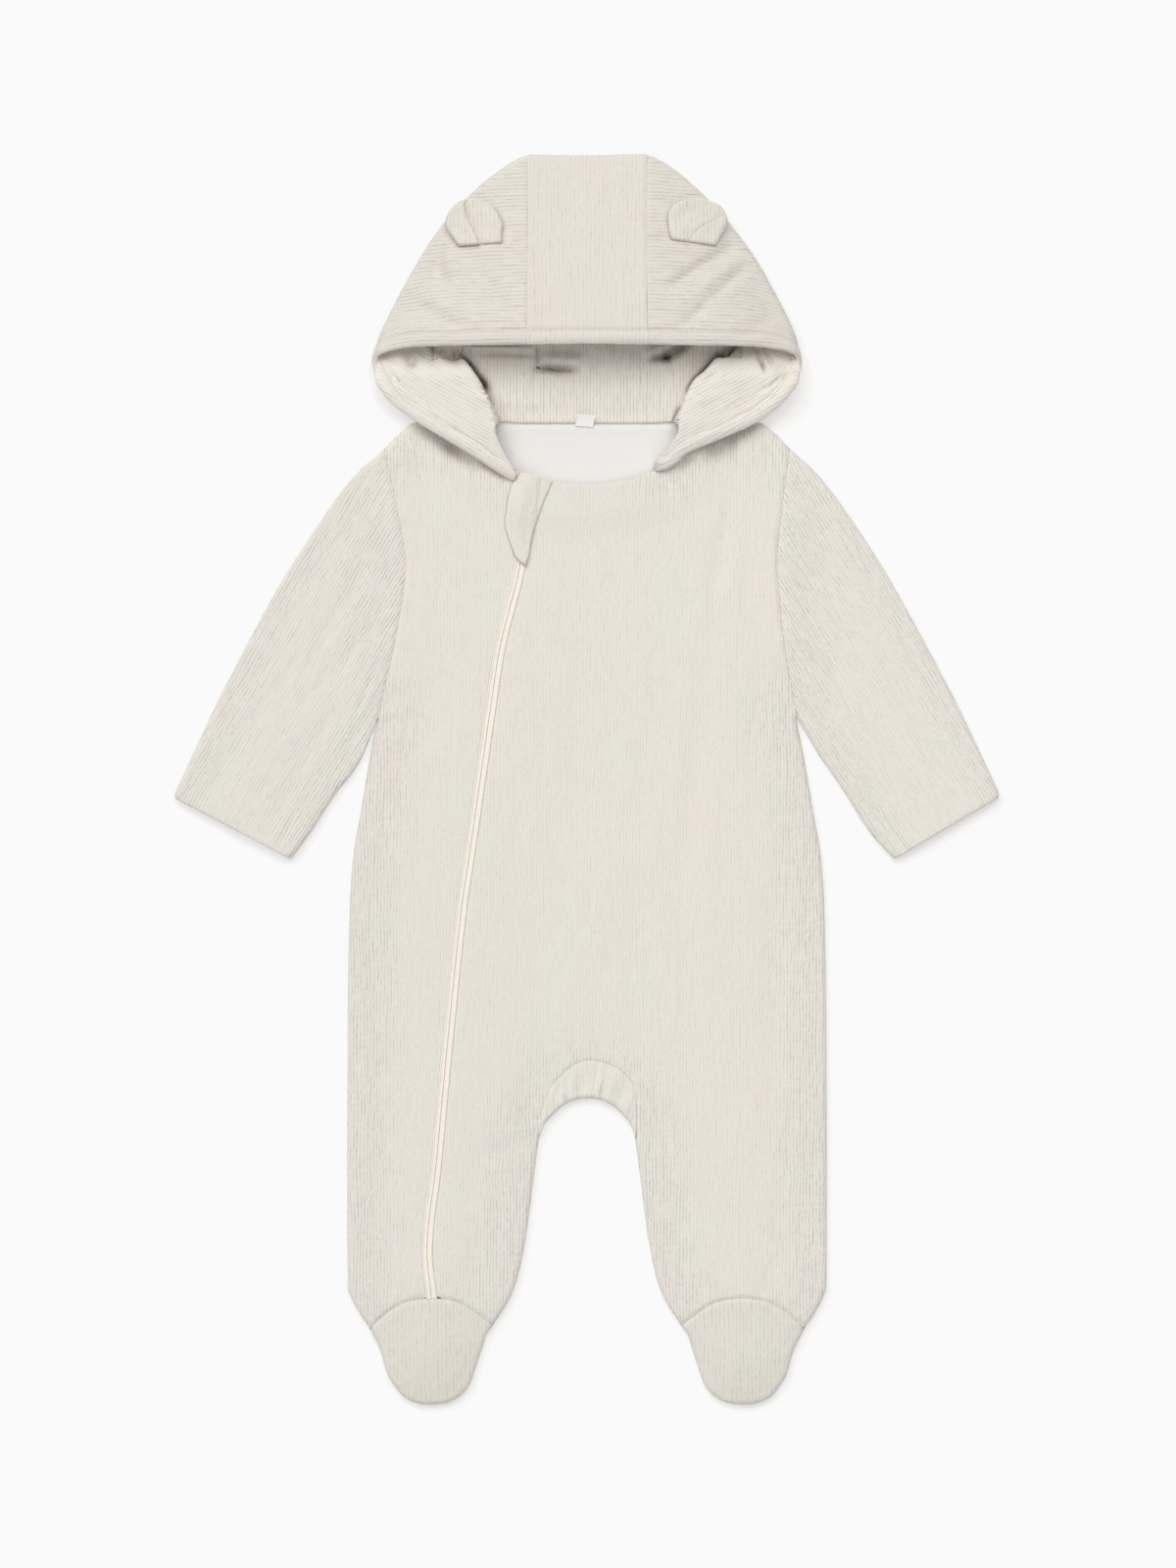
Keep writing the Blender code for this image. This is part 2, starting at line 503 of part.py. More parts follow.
def sleeve(side):
    """A flattened tube, open at the cuff and at the armhole, where its end follows the seam's curve."""
    rows = np.array(SLEEVES[side])
    sign = -1 if side == "left" else 1
    stations = spline(rows, np.linspace(0, len(rows) - 1, SLEEVE_ROWS))
    hole = CURVES["armhole", side]
    marks = SLEEVE_COLUMNS
    outer, inner = [], []
    for k, (ox, oy, ix, iy) in enumerate(stations):
        along = k / (len(stations) - 1)
        start, end = np.array((sign * ox, oy)), np.array((sign * ix, iy))
        reach = np.linalg.norm(end - start)
        bulge_fade = (1 - along) ** 4
        lengths = np.linspace(0, 1, len(hole))
        bulge = np.stack([np.interp(marks, lengths, hole[:, d]) for d in (0, 1)], axis=1)
        bulge -= hole[0] + marks[:, None] * (hole[-1] - hole[0])
        line = start + marks[:, None] * (end - start) + bulge_fade * bulge
        out = (end - start) / reach
        drop = np.zeros(len(marks))
        for a0, a1, s0, s1, half_width, deep in SLEEVE_FOLDS:
            t = (along - a0) / (a1 - a0)
            fade = ease(t, -0.15, 0.3) * (1 - ease(t, 0.7, 1.15))
            centre = s0 + (s1 - s0) * t
            drop += deep * fade * np.exp(-((marks - centre) * reach / half_width) ** 2)
        lift = PUFF * np.clip(4 * marks * (1 - marks), 0, 1) + CUFF_FLARE * ease(along, 0.85, 1)
        own = ease(along, 0, 0.2)
        air = (1 - own) * air_between(line) + own * np.maximum(lift - drop, 0)
        high = 2 * WALL + SEAM_GAP + np.maximum(air, LEAST_AIR)
        rim_high = WALL + SEAM_GAP + EDGE_LIP
        width = (marks * reach, (1 - marks) * reach)
        t = 1 - np.clip(np.minimum(*width) / EDGE_ROUND, 0, 1)
        bow = np.sqrt(np.maximum(1 - t * t, 0))
        top = rim_high + (high - rim_high) * bow
        low = (WALL - EDGE_LIP) * (1 - bow)
        outer_line = np.column_stack([line, top])
        under_line = np.column_stack([line, low])[1:-1][::-1]
        under_line = under_line[UNDER_COLUMNS]
        inset = WALL * 0.95
        inner_marks = np.clip(marks * reach, inset, reach - inset)
        shift = (inner_marks - marks * reach)[:, None] * out
        inner_top = np.column_stack([line + shift, high - WALL])
        inner_top[[0, -1], 2] = WALL + SEAM_GAP / 2
        inner_low = np.column_stack([line + shift, np.full(len(line), WALL)])[1:-1][::-1]
        inner_low = inner_low[UNDER_COLUMNS]
        inner_top[0, :2] -= 0.2 * out
        inner_top[-1, :2] += 0.2 * out
        outer.append(np.concatenate([outer_line, under_line]))
        inner.append(np.concatenate([inner_top, inner_low]))
    wall("sleeve_" + side, np.array(outer), np.array(inner), COTTON, ring=True)


def closure():
    """Two zip tapes in the channel between the fronts, the slider and the leaf-shaped guard over it."""
    line = CURVES["zip"]
    for side, turn in (("left", -1), ("right", 1)):
        rows = []
        for offset in (0.5 * SEAM_GAP, 0.5 * ZIP_TAPE, ZIP_TAPE + 0.5 * SEAM_GAP):
            rows.append(shifted(line, turn * offset))
        rows = np.stack(rows, axis=1)
        flat = rows.reshape(-1, 2)
        cloth = (front_low(flat) + WALL).reshape(rows.shape[:2])
        top = cloth + ZIP_RISE * np.array([0.25, 1.0, 0.1])
        bottom = (front_low(flat)).reshape(rows.shape[:2])
        outer = np.concatenate([rows, top[..., None]], axis=2)
        inner = np.concatenate([rows, bottom[..., None]], axis=2)
        wall("zip_tape_" + side, outer, inner, TAPE_CREAM)
    width, length, thick = SLIDER
    at = np.array(SLIDER_AT)
    base = front_low(at[None])[0] + WALL + ZIP_RISE + SEAM_GAP
    shape = [(-0.5, -0.35), (-0.35, -0.5), (0.35, -0.5), (0.5, -0.35), (0.5, 0.3), (0.3, 0.5), (-0.3, 0.5),
             (-0.5, 0.3)]
    outline = np.array([(at[0] + width * x, at[1] + length * y) for x, y in shape])
    flat_piece("zip_slider", outline, lambda p: np.full(len(p), base + thick),
               lambda p: np.full(len(p), base), TAPE_CREAM)
    left = smooth(GUARD_LEFT + [GUARD_TIP], 12)
    right = smooth(GUARD_RIGHT + [GUARD_TIP], 12)
    spread = np.linspace(0, 1, 9)
    plan = left[:, None] * (1 - spread[None, :, None]) + right[:, None] * spread[None, :, None]
    plan[-1] = GUARD_TIP + (spread[:, None] - 0.5) * np.array(GUARD_TIP_WIDTH)
    flat = plan.reshape(-1, 2)
    rest = front_low(flat) + WALL
    near_zip = ZIP_RISE * (1 - ease(distance_to(flat, [line]), 4.0, 6.0))
    over = (thick + SEAM_GAP) * (1 - ease(np.linalg.norm((flat - at) * (1.0, 0.7), axis=1), 6.5, 12))
    low = (rest + near_zip + over).reshape(plan.shape[:2]) + GUARD_AIR
    dome = GUARD_DOME * np.sin(math.pi * spread)[None, :]
    outer = np.concatenate([plan, (low + GUARD_PLY + dome)[..., None]], axis=2)
    inner = np.concatenate([plan, low[..., None]], axis=2)
    wall("zip_guard", outer, inner, COTTON)


# ---- hood -------------------------------------------------------------------------------------

def cheek_rise(plan, neck_height):
    """Extra height of the hood's lower cloth: a steep crest, then a slope down to the cheek's rim."""
    half = np.abs(plan)
    crest = smooth(CREST, step=2.5)
    nearest = np.argmin(np.linalg.norm(half[:, None] - crest[None], axis=2), axis=1)
    along = np.gradient(crest, axis=0)[nearest]
    offset = half - crest[nearest]
    across = along[:, 0] * offset[:, 1] - along[:, 1] * offset[:, 0]
    away = across / np.linalg.norm(along, axis=1)
    rise = ease(away, -CREST_STEEP, 0)
    slope = CREST_HEIGHT + (CHEEK_HEIGHT - CREST_HEIGHT) * ease(away, 0, 34)
    sink = 1 - ease(half[:, 1], *CHEEK_FADE)
    narrow = ease(half[:, 1], *CHEEK_NARROW)
    target = slope * narrow + (1 - narrow) * CHEEK_END
    return rise * sink * np.maximum(target - neck_height, 0)


def meridian(row):
    """Dense mid-surface points of one hood meridian, from the rim over the fold to the neck, and the
    lengths at which the fold begins and ends."""
    rx, ry, rz, fx, fy, fz, turn, nx, ny, nz = row
    rim, fold, neck = np.array((rx, ry, rz)), np.array((fx, fy)), np.array((nx, ny, nz))
    out = fold - neck[:2]
    span = np.linalg.norm(out)
    out /= span
    turn = math.radians(max(turn, 0))
    start = fold - (FOLD_RADIUS + HOOD_HALF) * out * math.sin(min(turn, math.pi / 2))
    t = np.linspace(0, 1, 60)[:, None]
    plan = neck[:2] + (start - neck[:2]) * t
    base = neck[2] + (fz - neck[2]) * ease(t[:, 0], 0.55, 1.0)
    climbed = ease(np.linalg.norm(plan - neck[:2], axis=1), 0.0, NECK_CLIMB)
    floor = CHEEK_REST * climbed * ease(nz, 5.0, 6.6)
    lifted = np.maximum(base + cheek_rise(plan, base), floor)
    settle = ease(t[:, 0], 0.8, 1.0)
    lifted = lifted * (1 - settle) + np.maximum(fz, base) * settle
    low = np.column_stack([plan, lifted])
    angles = np.linspace(0, turn, 16)[1:]
    arc = np.column_stack([start + FOLD_RADIUS * np.sin(angles)[:, None] * out,
                           lifted[-1] + FOLD_RADIUS * (1 - np.cos(angles))])
    path = np.concatenate([low, arc]) if turn > 0.02 else low
    arc_end = path[-1]
    rim = arc_end + (rim - arc_end) * ease(turn, *TOP_TURN)
    gap = rim - arc_end
    reach = np.linalg.norm(gap)
    if reach > 0.01:
        heading = np.array((*(out * math.cos(turn)), math.sin(turn)))
        t = np.linspace(0, 1, 30)[1:, None]
        first = arc_end + heading * reach / 3
        second = rim - gap / 3 * (1, 1, 0.6)
        top = (1 - t) ** 3 * arc_end + 3 * (1 - t) ** 2 * t * first + 3 * (1 - t) * t ** 2 * second + t ** 3 * rim
        path = np.concatenate([path, top])
    path = path[::-1]
    low_length = np.linalg.norm(np.diff(low, axis=0), axis=1).sum()
    total = np.linalg.norm(np.diff(path, axis=0), axis=1).sum()
    arc_length = FOLD_RADIUS * turn
    top_length = max(total - low_length - arc_length, 0.0)
    unfolded = total * (1 - ease(turn, 0.3, 1.2))
    first = max(top_length, RIM_BAND[0] + RIM_BAND[1] * unfolded)
    second = max(top_length + arc_length, first + NEXT_BAND[0] + NEXT_BAND[1] * unfolded)
    return path, first, second


def hood_points(rows_at, side, top_count=5, fold_count=4, low_count=8):
    """Mid-surface grid of hood points: a row for each meridian, a column for each step from the rim."""
    table = spline(HOOD_ROWS + [HOOD_ENDS["left" if side < 0 else "right"]], rows_at)
    table[:, 6] = np.clip(table[:, 6], 0, 166)
    grid = []
    for row in table:
        path, first, second = meridian(row)
        lengths = np.concatenate([[0], np.cumsum(np.linalg.norm(np.diff(path, axis=0), axis=1))])
        low_marks = np.append(np.linspace(second, lengths[-1] - NECK_CLIMB, low_count)[1:], lengths[-1])
        marks = np.concatenate([np.linspace(0, first, top_count + 1),
                                np.linspace(first, second, fold_count + 1)[1:], low_marks])
        grid.append(np.stack([np.interp(marks, lengths, path[:, k]) for k in range(3)], axis=1))
    grid = np.array(grid)
    grid[..., 0] *= side
    return grid


def hood_surface(rows_at, side, top_count=5):
    """Mid-surface points and their unit normals, which face out of the hood.

    The normals come from the meridians just beside each one, so that neighbours agree at a seam.
    """
    grid = hood_points(rows_at, side, top_count)
    along = hood_points(rows_at + 0.02, side, top_count) - hood_points(rows_at - 0.02, side, top_count)
    along *= side
    across = np.gradient(grid, axis=1)
    normal = np.cross(along, across)
    return grid, normal / np.maximum(np.linalg.norm(normal, axis=2)[..., None], 1e-9)


def hood_pair(name, lining_name, grid, normal):
    """Shell and lining on the two sides of the mid-surface."""
    drop = troughs(grid.reshape(-1, 3)[:, :2], HOOD_FOLDS).reshape(grid.shape[:2])
    upper = ease(grid[..., 2], 7, 10)
    grid = grid - normal * (drop * upper)[..., None]
    near = SEAM_GAP / 2
    shell_out = grid + normal * HOOD_HALF
    shell_in = grid + normal * near
    for sheet in (shell_out, shell_in):
        sheet[..., 2] = np.maximum(sheet[..., 2], 0)
    wall(name, shell_out, shell_in, COTTON)
    wall(lining_name, grid - normal * near, grid - normal * HOOD_HALF, LINING_COTTON)


def hood():
    """Centre strip and two side panels, each with its lining, from the rim over the crown to the nape."""
    half = np.linspace(0, HOOD_SEAM_ROW - SEAM_INSET, 4)
    right, right_normal = hood_surface(half, 1)
    left, left_normal = hood_surface(half[1:][::-1], -1)
    hood_pair("hood_centre", "hood_lining_centre", np.concatenate([left, right]),
              np.concatenate([left_normal, right_normal]))
    last = len(HOOD_ROWS)
    stations = np.concatenate([[HOOD_SEAM_ROW + SEAM_INSET], HOOD_STATIONS, [last]])
    hood_pair("hood_side_right", "hood_lining_right", *hood_surface(stations, 1))
    hood_pair("hood_side_left", "hood_lining_left", *hood_surface(stations, -1))


def hood_top(points, side):
    """Height of the hood's outside under each plan point, from its three nearest surface points."""
    grid, normal = hood_surface(np.linspace(0, 5, 50), side, 24)
    outside = (grid + normal * HOOD_HALF)[:, :26].reshape(-1, 3)
    away = np.linalg.norm(points[:, None] - outside[None, :, :2], axis=2)
    nearest = np.argsort(away, axis=1)[:, :3]
    weight = 1 / (np.take_along_axis(away, nearest, axis=1) + 0.1)
    return (outside[nearest, 2] * weight).sum(axis=1) / weight.sum(axis=1)


def ear(side):
    """A double leaf of cloth on its dart seam: round tip, cupped hollow, leaning back on the hood."""
    rows = np.linspace(0, 1, 9)
    across = np.linspace(0, 1, 11)
    left, right = (smooth(points, len(rows)) for points in EARS[side])
    plan = left[:, None] * (1 - across[None, :, None]) + right[:, None] * across[None, :, None]
    base = hood_top(plan[0], -1 if side == "left" else 1)
    level = base[None, :] + (base.max() + EAR_LIFT - base)[None, :] * ease(rows, 0, 0.8)[:, None]
    bowl = np.sin(math.pi * across)[None, :] * np.sin(math.pi * np.clip(0.25 + 0.75 * rows, 0, 1))[:, None]
    low = level - 0.5 * EAR_HOLLOW[side] * bowl
    rest = hood_top(plan.reshape(-1, 2), -1 if side == "left" else 1).reshape(low.shape)
    low = np.maximum(low, rest) + EAR_AIR
    edge = np.minimum(np.sin(math.pi * across)[None, :] * 2.5, 1) * np.clip((1 - rows) * 5, 0, 1)[:, None]
    ply = EAR_PLY * (0.45 + 0.55 * np.sqrt(edge)) - 0.35 * EAR_HOLLOW[side] * bowl ** 2
    outer = np.concatenate([plan, (low + ply)[..., None]], axis=2)
    inner = np.concatenate([plan, low[..., None]], axis=2)
    wall("ear_" + side, outer, inner, COTTON)


def size_tab():
    width, length, thick = TAB
    x, y = TAB_AT
    outline = [(x - width / 2, y - length / 2), (x + width / 2, y - length / 2), (x + width / 2, y + length / 2),
               (x - width / 2, y + length / 2)]
    low = 2 * (HOOD_PLY + SEAM_GAP) + 0.2

    def curl(points):
        return low + 0.8 * ((points[:, 1] - y) / length + 0.5) ** 2

    flat_piece("size_tab", outline, lambda p: curl(p) + thick, curl, SATIN_WHITE)


def main():
    for old in list(bpy.data.objects):
        bpy.data.objects.remove(old)
    torso()
    gusset()
    feet()
    sleeve("left")
    sleeve("right")
    closure()
    hood()
    ear("left")
    ear("right")
    size_tab()


main()
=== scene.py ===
"""Looks of the hooded pramsuit: cloth shells with their creases and sewing, the zip, light and camera.

The tables are in millimetres in the part's frame: +Z up off the floor, +Y towards the hood's crown. "Left"
and "right" are the viewer's. Each cloth piece is a closed thin shell over its solid's form.
"""
import json
import math

import bpy
import numpy as np
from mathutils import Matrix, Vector
from mathutils.geometry import delaunay_2d_cdt


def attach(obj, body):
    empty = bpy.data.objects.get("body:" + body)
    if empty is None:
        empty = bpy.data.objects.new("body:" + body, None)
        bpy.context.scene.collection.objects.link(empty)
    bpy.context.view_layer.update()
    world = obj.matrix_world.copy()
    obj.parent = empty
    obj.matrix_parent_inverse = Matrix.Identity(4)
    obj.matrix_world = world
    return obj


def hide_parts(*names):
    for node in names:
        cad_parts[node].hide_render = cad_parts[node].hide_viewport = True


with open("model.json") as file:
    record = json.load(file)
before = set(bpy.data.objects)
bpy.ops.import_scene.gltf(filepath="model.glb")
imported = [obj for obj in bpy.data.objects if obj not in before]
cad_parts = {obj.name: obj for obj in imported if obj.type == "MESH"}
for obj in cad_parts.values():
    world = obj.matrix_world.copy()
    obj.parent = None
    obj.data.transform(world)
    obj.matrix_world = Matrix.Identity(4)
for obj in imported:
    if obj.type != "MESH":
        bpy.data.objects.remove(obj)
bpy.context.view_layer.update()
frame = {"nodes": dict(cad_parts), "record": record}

MM = 0.001
SIDES = (("left", -1), ("right", 1))

# Cloth, in mm
SEAM_GAP = 0.3
WALL = 3.0
HOOD_PLY = 1.8
HOOD_HALF = SEAM_GAP / 2 + HOOD_PLY
EDGE_ROUND = 3.0
EDGE_LIP = 0.35
SLACK = 0.5
PUFF = 1.2
SHOWN_GAP = 0.12           # between two edges at a seam
CUFF_CORNER = 2.6          # radius of the cuffs' corners, seen from above
OUTLINE_STEP = 2.4
FINE_STEP = 2.3            # mesh step of a side that shows
COARSE_STEP = 8.0          # and of one that is hidden
EDGE_ROWS = (0.35, 0.9, 1.7, 2.8, 4.2)

# Half outlines, mirrored unless a side is named: columns are half width, height
SIDE_EDGE = [
    (119.5, 33.6), (123.6, 14), (129.5, -20), (133.3, -42), (135.4, -72), (136.6, -135), (136.8, -277),
    (135.2, -294), (130.5, -304), (124.2, -313.4)]
INNER_LEG = [
    (27.6, -206), (28.6, -214), (30.3, -227), (32.4, -243.6), (34.6, -260), (38.4, -280), (42.5, -293),
    (47.4, -302.4), (53.6, -311.6)]
FOOT_SEAM = [
    (124.2, -313.8), (118, -308), (111.4, -302.6), (101.9, -298), (88.5, -296.3), (76.7, -297.7),
    (68.9, -300.8), (61.6, -306.1), (53.6, -312)]
TOE_EDGE = [
    (53.6, -312), (57.3, -317), (59.6, -324.2), (63.3, -335.4), (66.6, -345), (71.1, -351.1),
    (78.4, -355.6), (87.5, -357.2), (96.5, -356.6), (104.7, -352.8), (110.3, -346.1), (114.2, -339.4),
    (118.2, -325.9), (124.2, -313.8)]
FOOT_MIDDLE = (88.5, -330)
FOOT_PUFF = (2.2, 20)      # its height in the middle, its radius
SHOULDER = [(115.9, 188.7), (107, 197.6), (97.4, 204), (78, 205.6), (58, 202.5)]
ARMHOLES = {
    "left": [
        (115.9, 188.7), (109.2, 157.9), (104.2, 130), (103.8, 115), (108.6, 84), (114.2, 57.7),
        (119.8, 33.6)],
    "right": [
        (115.9, 188.7), (112, 160), (108.6, 128), (110.6, 95), (114, 68), (120.1, 35)],
}
# Sleeve sections: outer edge x, y and inner edge x, y, from the armhole to the cuff
SLEEVES = {
    "left": [
        (115.9, 188.7, 119.8, 33.6), (136, 169.8, 127.7, 14), (159, 137.2, 134.4, 2.8),
        (179.8, 103.6, 143.4, -8.4), (209.4, 47.6, 157.9, -30.8), (236.6, -10.4, 169.1, -45.9)],
    "right": [
        (115.9, 188.7, 120.1, 35), (134.6, 170.8, 132.2, 14), (158.5, 137.2, 140, 2.8),
        (178.8, 103.6, 148.5, -10), (208.9, 47.6, 161.8, -30.8), (236.4, -10, 175.3, -45.9)],
}
NECK_LEFT = [(-58, 202.5), (-56.5, 194), (-51.6, 184.6), (-44.6, 177.6), (-36.4, 175.2)]
NECK_RIGHT = [
    (-28.2, 172.4), (-19, 170.2), (0.6, 168.6), (20, 170.6), (37, 175.6), (50, 184), (56.5, 194),
    (58, 202.5)]
NAPE = 202.5
NECK_LINING = [
    (-52.4, 202.2), (52.4, 202.2), (51.6, 190), (38, 171), (18, 161), (0, 158.5), (-20, 160.5), (-38, 168),
    (-51.6, 190)]
NECK_LIFT = 1.3
ZIP_LINE = [
    (-32, 172.6), (-38.1, 123.2), (-44.2, 97.4), (-48.7, 79.5), (-52.6, 57.1), (-66.1, -36.4), (-72.2, -79),
    (-80.1, -156.2), (-85.7, -216.2), (-87.9, -234.6), (-90.2, -252), (-91.3, -272.7), (-88.7, -295.4)]
ZIP_TAPE = 3.1
# One side of the zip, from its middle out: offset, height over the cloth
ZIP_PROFILE = [
    (0.06, -0.7), (0.18, -0.1), (0.4, 0.05), (0.75, 0.10), (0.95, 0.02), (1.08, -0.14), (1.2, 0.02),
    (1.45, 0.08), (1.65, 0.0), (1.8, -0.15), (1.95, 0.05), (2.2, 0.50), (2.5, 0.70), (2.8, 0.58),
    (3.05, 0.2), (3.3, -0.5)]
ZIP_STRIP = 1.6            # its thickness
GUARD_LEFT = [(-38.1, 175.4), (-43.7, 166.5), (-46.5, 152), (-47, 144.5), (-43.7, 133.8), (-40.3, 126)]
GUARD_TIP = (-35.4, 122)
GUARD_RIGHT = [(-19.6, 170), (-24.6, 158.5), (-27.4, 150.6), (-31.4, 137.8), (-33.4, 126.8)]
GUARD_PLY = 0.9
SLIDER_THICK = 1.6
SLIDER_AT = (-33.9, 157)
TAB = (10.0, 6.4)
TAB_AT = (-1.1, 204.4)
TAB_FOLD = (0.42, 0.58)    # where it turns over, as shares of its length
TAB_TURN = 0.5             # depth of that turn
TAB_HALF = 0.14            # half its thickness
GUSSET_SEAM = [
    (-27.2, -198), (-23.8, -184), (-19.3, -174), (-8, -163.4), (1.1, -160.4), (12, -162.4), (22.2, -168.8),
    (27.6, -178), (28.2, -197)]
CROTCH_EDGE = [
    (-27.4, -205.6), (-24.3, -197.5), (-18.5, -190.6), (-10, -184.4), (0.6, -182.4), (10.5, -184.2),
    (20.2, -191.5), (25.4, -198.6), (27.6, -205.6)]
# Gusset gathers: place along the seam, half width (both 0 to 1), height in mm
GATHERS = [
    (0.07, 0.022, 0.5), (0.16, 0.020, -0.9), (0.215, 0.018, 0.9), (0.295, 0.014, -1.2), (0.325, 0.013, 1.3),
    (0.39, 0.020, 0.5), (0.45, 0.026, -0.7), (0.545, 0.012, -1.2), (0.572, 0.012, 1.5), (0.65, 0.022, 0.6),
    (0.73, 0.024, -0.8), (0.81, 0.020, 0.7), (0.90, 0.020, -0.5)]

# Body creases: from x, y to x, y, half width, depth (a ridge is negative)
FRONT_FOLDS = [
    (84, 172, 72, 104, 5.5, 1.1), (72, 104, 56, -60, 7.5, 0.8), (60, 150, 40, 20, 9, 0.35),
    (-92, 160, -80, 40, 8, 0.5), (-112, -40, -104, -190, 9, 0.5), (110, -60, 104, -220, 9, 0.6),
    (10, 120, -20, -90, 14, 0.35), (36, -180, 66, -262, 8, 0.6), (-30, -205, -58, -216, 4, 0.8),
    (28, -60, 36, -150, 10, 0.3), (93, 150, 88, 60, 4.5, 0.45), (101, 120, 96, 10, 5, 0.35),
    (-60, 160, -56, 96, 4, 0.3), (-100, 110, -92, 20, 5, 0.35), (-70, 150, -66, 60, 4, 0.25),
    (120, -100, 116, -240, 4, 0.35), (-122, -60, -118, -230, 4, 0.3), (58, -90, 62, -230, 6, 0.3),
    (-44, -190, -52, -280, 5, 0.4), (60, -226, 84, -292, 5, 0.45), (-60, -250, -66, -296, 5, 0.35),
    (110, -270, 96, -300, 4, 0.4), (-118, -268, -104, -298, 4, 0.4), (48, 171, 64, 192, 4, -0.4),
    (-62, 182, -76, 196, 4, -0.3)]
# Hollows in the front under the hood's rims, the same
SHOULDER_DIPS = [
    (-97, 198, -62, 177, 3.6, 1.7), (-90, 203, -70, 190, 3.0, 0.9), (96, 198, 66, 186, 4.0, 1.6),
    (58, 183, 50, 174, 2.0, 0.8), (84, 202, 70, 194, 3.0, 0.6)]
# Sleeve creases: along the sleeve from, to, across it from, to (0 to 1 each), half width mm, depth
SLEEVE_FOLDS = {
    "left": [
        (0.10, 0.55, 0.30, 0.42, 7, 0.9), (0.06, 0.45, 0.52, 0.60, 6, 0.7),
        (0.45, 0.95, 0.70, 0.74, 6, 0.6), (0.55, 1.00, 0.34, 0.30, 8, 0.5),
        (0.15, 0.55, 0.86, 0.90, 3.5, 0.8), (0.3, 0.8, 0.55, 0.5, 5, 0.35),
        (0.05, 0.30, 0.72, 0.82, 4, 0.6), (0.65, 1.02, 0.84, 0.88, 3, 0.5)],
    "right": [
        (0.10, 0.55, 0.28, 0.42, 6, 1.1), (0.04, 0.42, 0.46, 0.62, 3.2, 1.5),
        (0.45, 0.95, 0.70, 0.74, 6, 0.6), (0.06, 0.34, 0.54, 0.68, 2.4, -0.7),
        (0.22, 0.62, 0.60, 0.70, 2.6, 0.9), (0.30, 0.66, 0.38, 0.46, 2.6, 0.7),
        (0.55, 1.00, 0.34, 0.30, 8, 0.5), (0.04, 0.40, 0.62, 0.78, 4.0, 1.0),
        (0.12, 0.55, 0.80, 0.88, 3.5, 0.9), (0.3, 0.8, 0.52, 0.5, 5, 0.4), (0.65, 1.02, 0.84, 0.88, 3, 0.5),
        (0.02, 0.2, 0.34, 0.5, 3, 0.5)],
}

# Hood, a row for each meridian of one half, mirrored, from the top's middle to the front neck:
# rim x, y, z; outermost fold x, y; fold's lowest z; turn of the fold in degrees; neck x, y, z
HOOD_ROWS = [
    (0.0, 247.0, 36.0, 0.0, 356.7, 1.95, 165, 0.0, 203.0, 1.95),
    (34.4, 246.6, 35.3, 34.2, 356.2, 1.95, 165, 29.5, 203.0, 1.95),
    (62.0, 246.3, 32.0, 66.5, 333.2, 1.95, 165, 39.5, 203.1, 1.95),
    (84.0, 246.2, 27.0, 92.6, 302.0, 1.95, 163, 44.5, 203.6, 2.10),
    (101.0, 245.6, 21.5, 110.0, 272.0, 2.6, 160, 47.5, 203.6, 2.40),
    (114.0, 243.4, 18.0, 119.6, 252.5, 5.4, 150, 49.8, 203.3, 3.40),
    (119.2, 240.0, 16.4, 122.7, 242.8, 6.0, 105, 50.7, 203.1, 4.20),
    (121.3, 233.8, 15.0, 123.2, 235.2, 8.4, 72, 51.4, 202.9, 5.20),
    (119.6, 225.4, 14.2, 119.6, 225.4, 14.2, 0, 52.0, 200.8, 6.60),
]
# More rows down to where each cheek's rim meets the front neck, without a fold: rim x, y, z; neck x, y
CHEEK_ROWS = {
    -1: [
        (112.6, 215.0, 13.8, 51.9, 198.4), (97.7, 203.8, 13.6, 51.3, 195.4),
        (79.0, 192.6, 13.0, 48.9, 190.0), (64.5, 183.6, 12.5, 46.0, 184.2),
        (52.6, 176.2, 11.2, 42.8, 178.9), (46.6, 172.8, 10.4, 41.4, 175.8), (41.4, 170.1, 9.7, 40.0, 173.0)],
    1: [
        (112.3, 215.0, 13.8, 51.9, 198.4), (98.2, 203.9, 13.6, 50.6, 195.4),
        (77.5, 194.6, 13.0, 47.4, 190.2), (58.6, 188.0, 12.0, 43.9, 185.2),
        (50.4, 180.0, 10.9, 41.0, 181.2), (44.6, 177.3, 10.0, 39.6, 179.6), (38.6, 175.9, 9.2, 37.6, 178.2)],
}
CHEEK_NECK = 6.6
CROWN = 356.5
FOLD_RADIUS = 3.0
TOP_TURN = (1.0, 2.5)
# Edge of each cheek's raised lobe, over the hollow
CREST = {
    -1: [
        (75.5, 249.0), (73.0, 241.4), (68.4, 235.0), (61.6, 225.1), (56.2, 213.0), (53.0, 203.3),
        (47.0, 190.0), (40.0, 176.0)],
    1: [
        (87.0, 249.5), (78.2, 242.5), (68.2, 232.4), (60.8, 225.0), (56.0, 214.0), (52.6, 203.3),
        (46.8, 190.0), (40.0, 176.0)],
}
CREST_LEAN = 5.4           # how far the lobe's edge hangs towards the hollow
CREST_SOFT = 12.0
LEAN_FROM = (205.0, 217.0)
CREST_HEIGHT = 17.5
CHEEK_HEIGHT = 13.6
CREST_STEEP = 2.6
CHEEK_FADE = (228.0, 249.0)
CHEEK_REST = 10.9
NECK_CLIMB = 2.6
CHEEK_END = 11.6
CHEEK_NARROW = (168.0, 205.0)
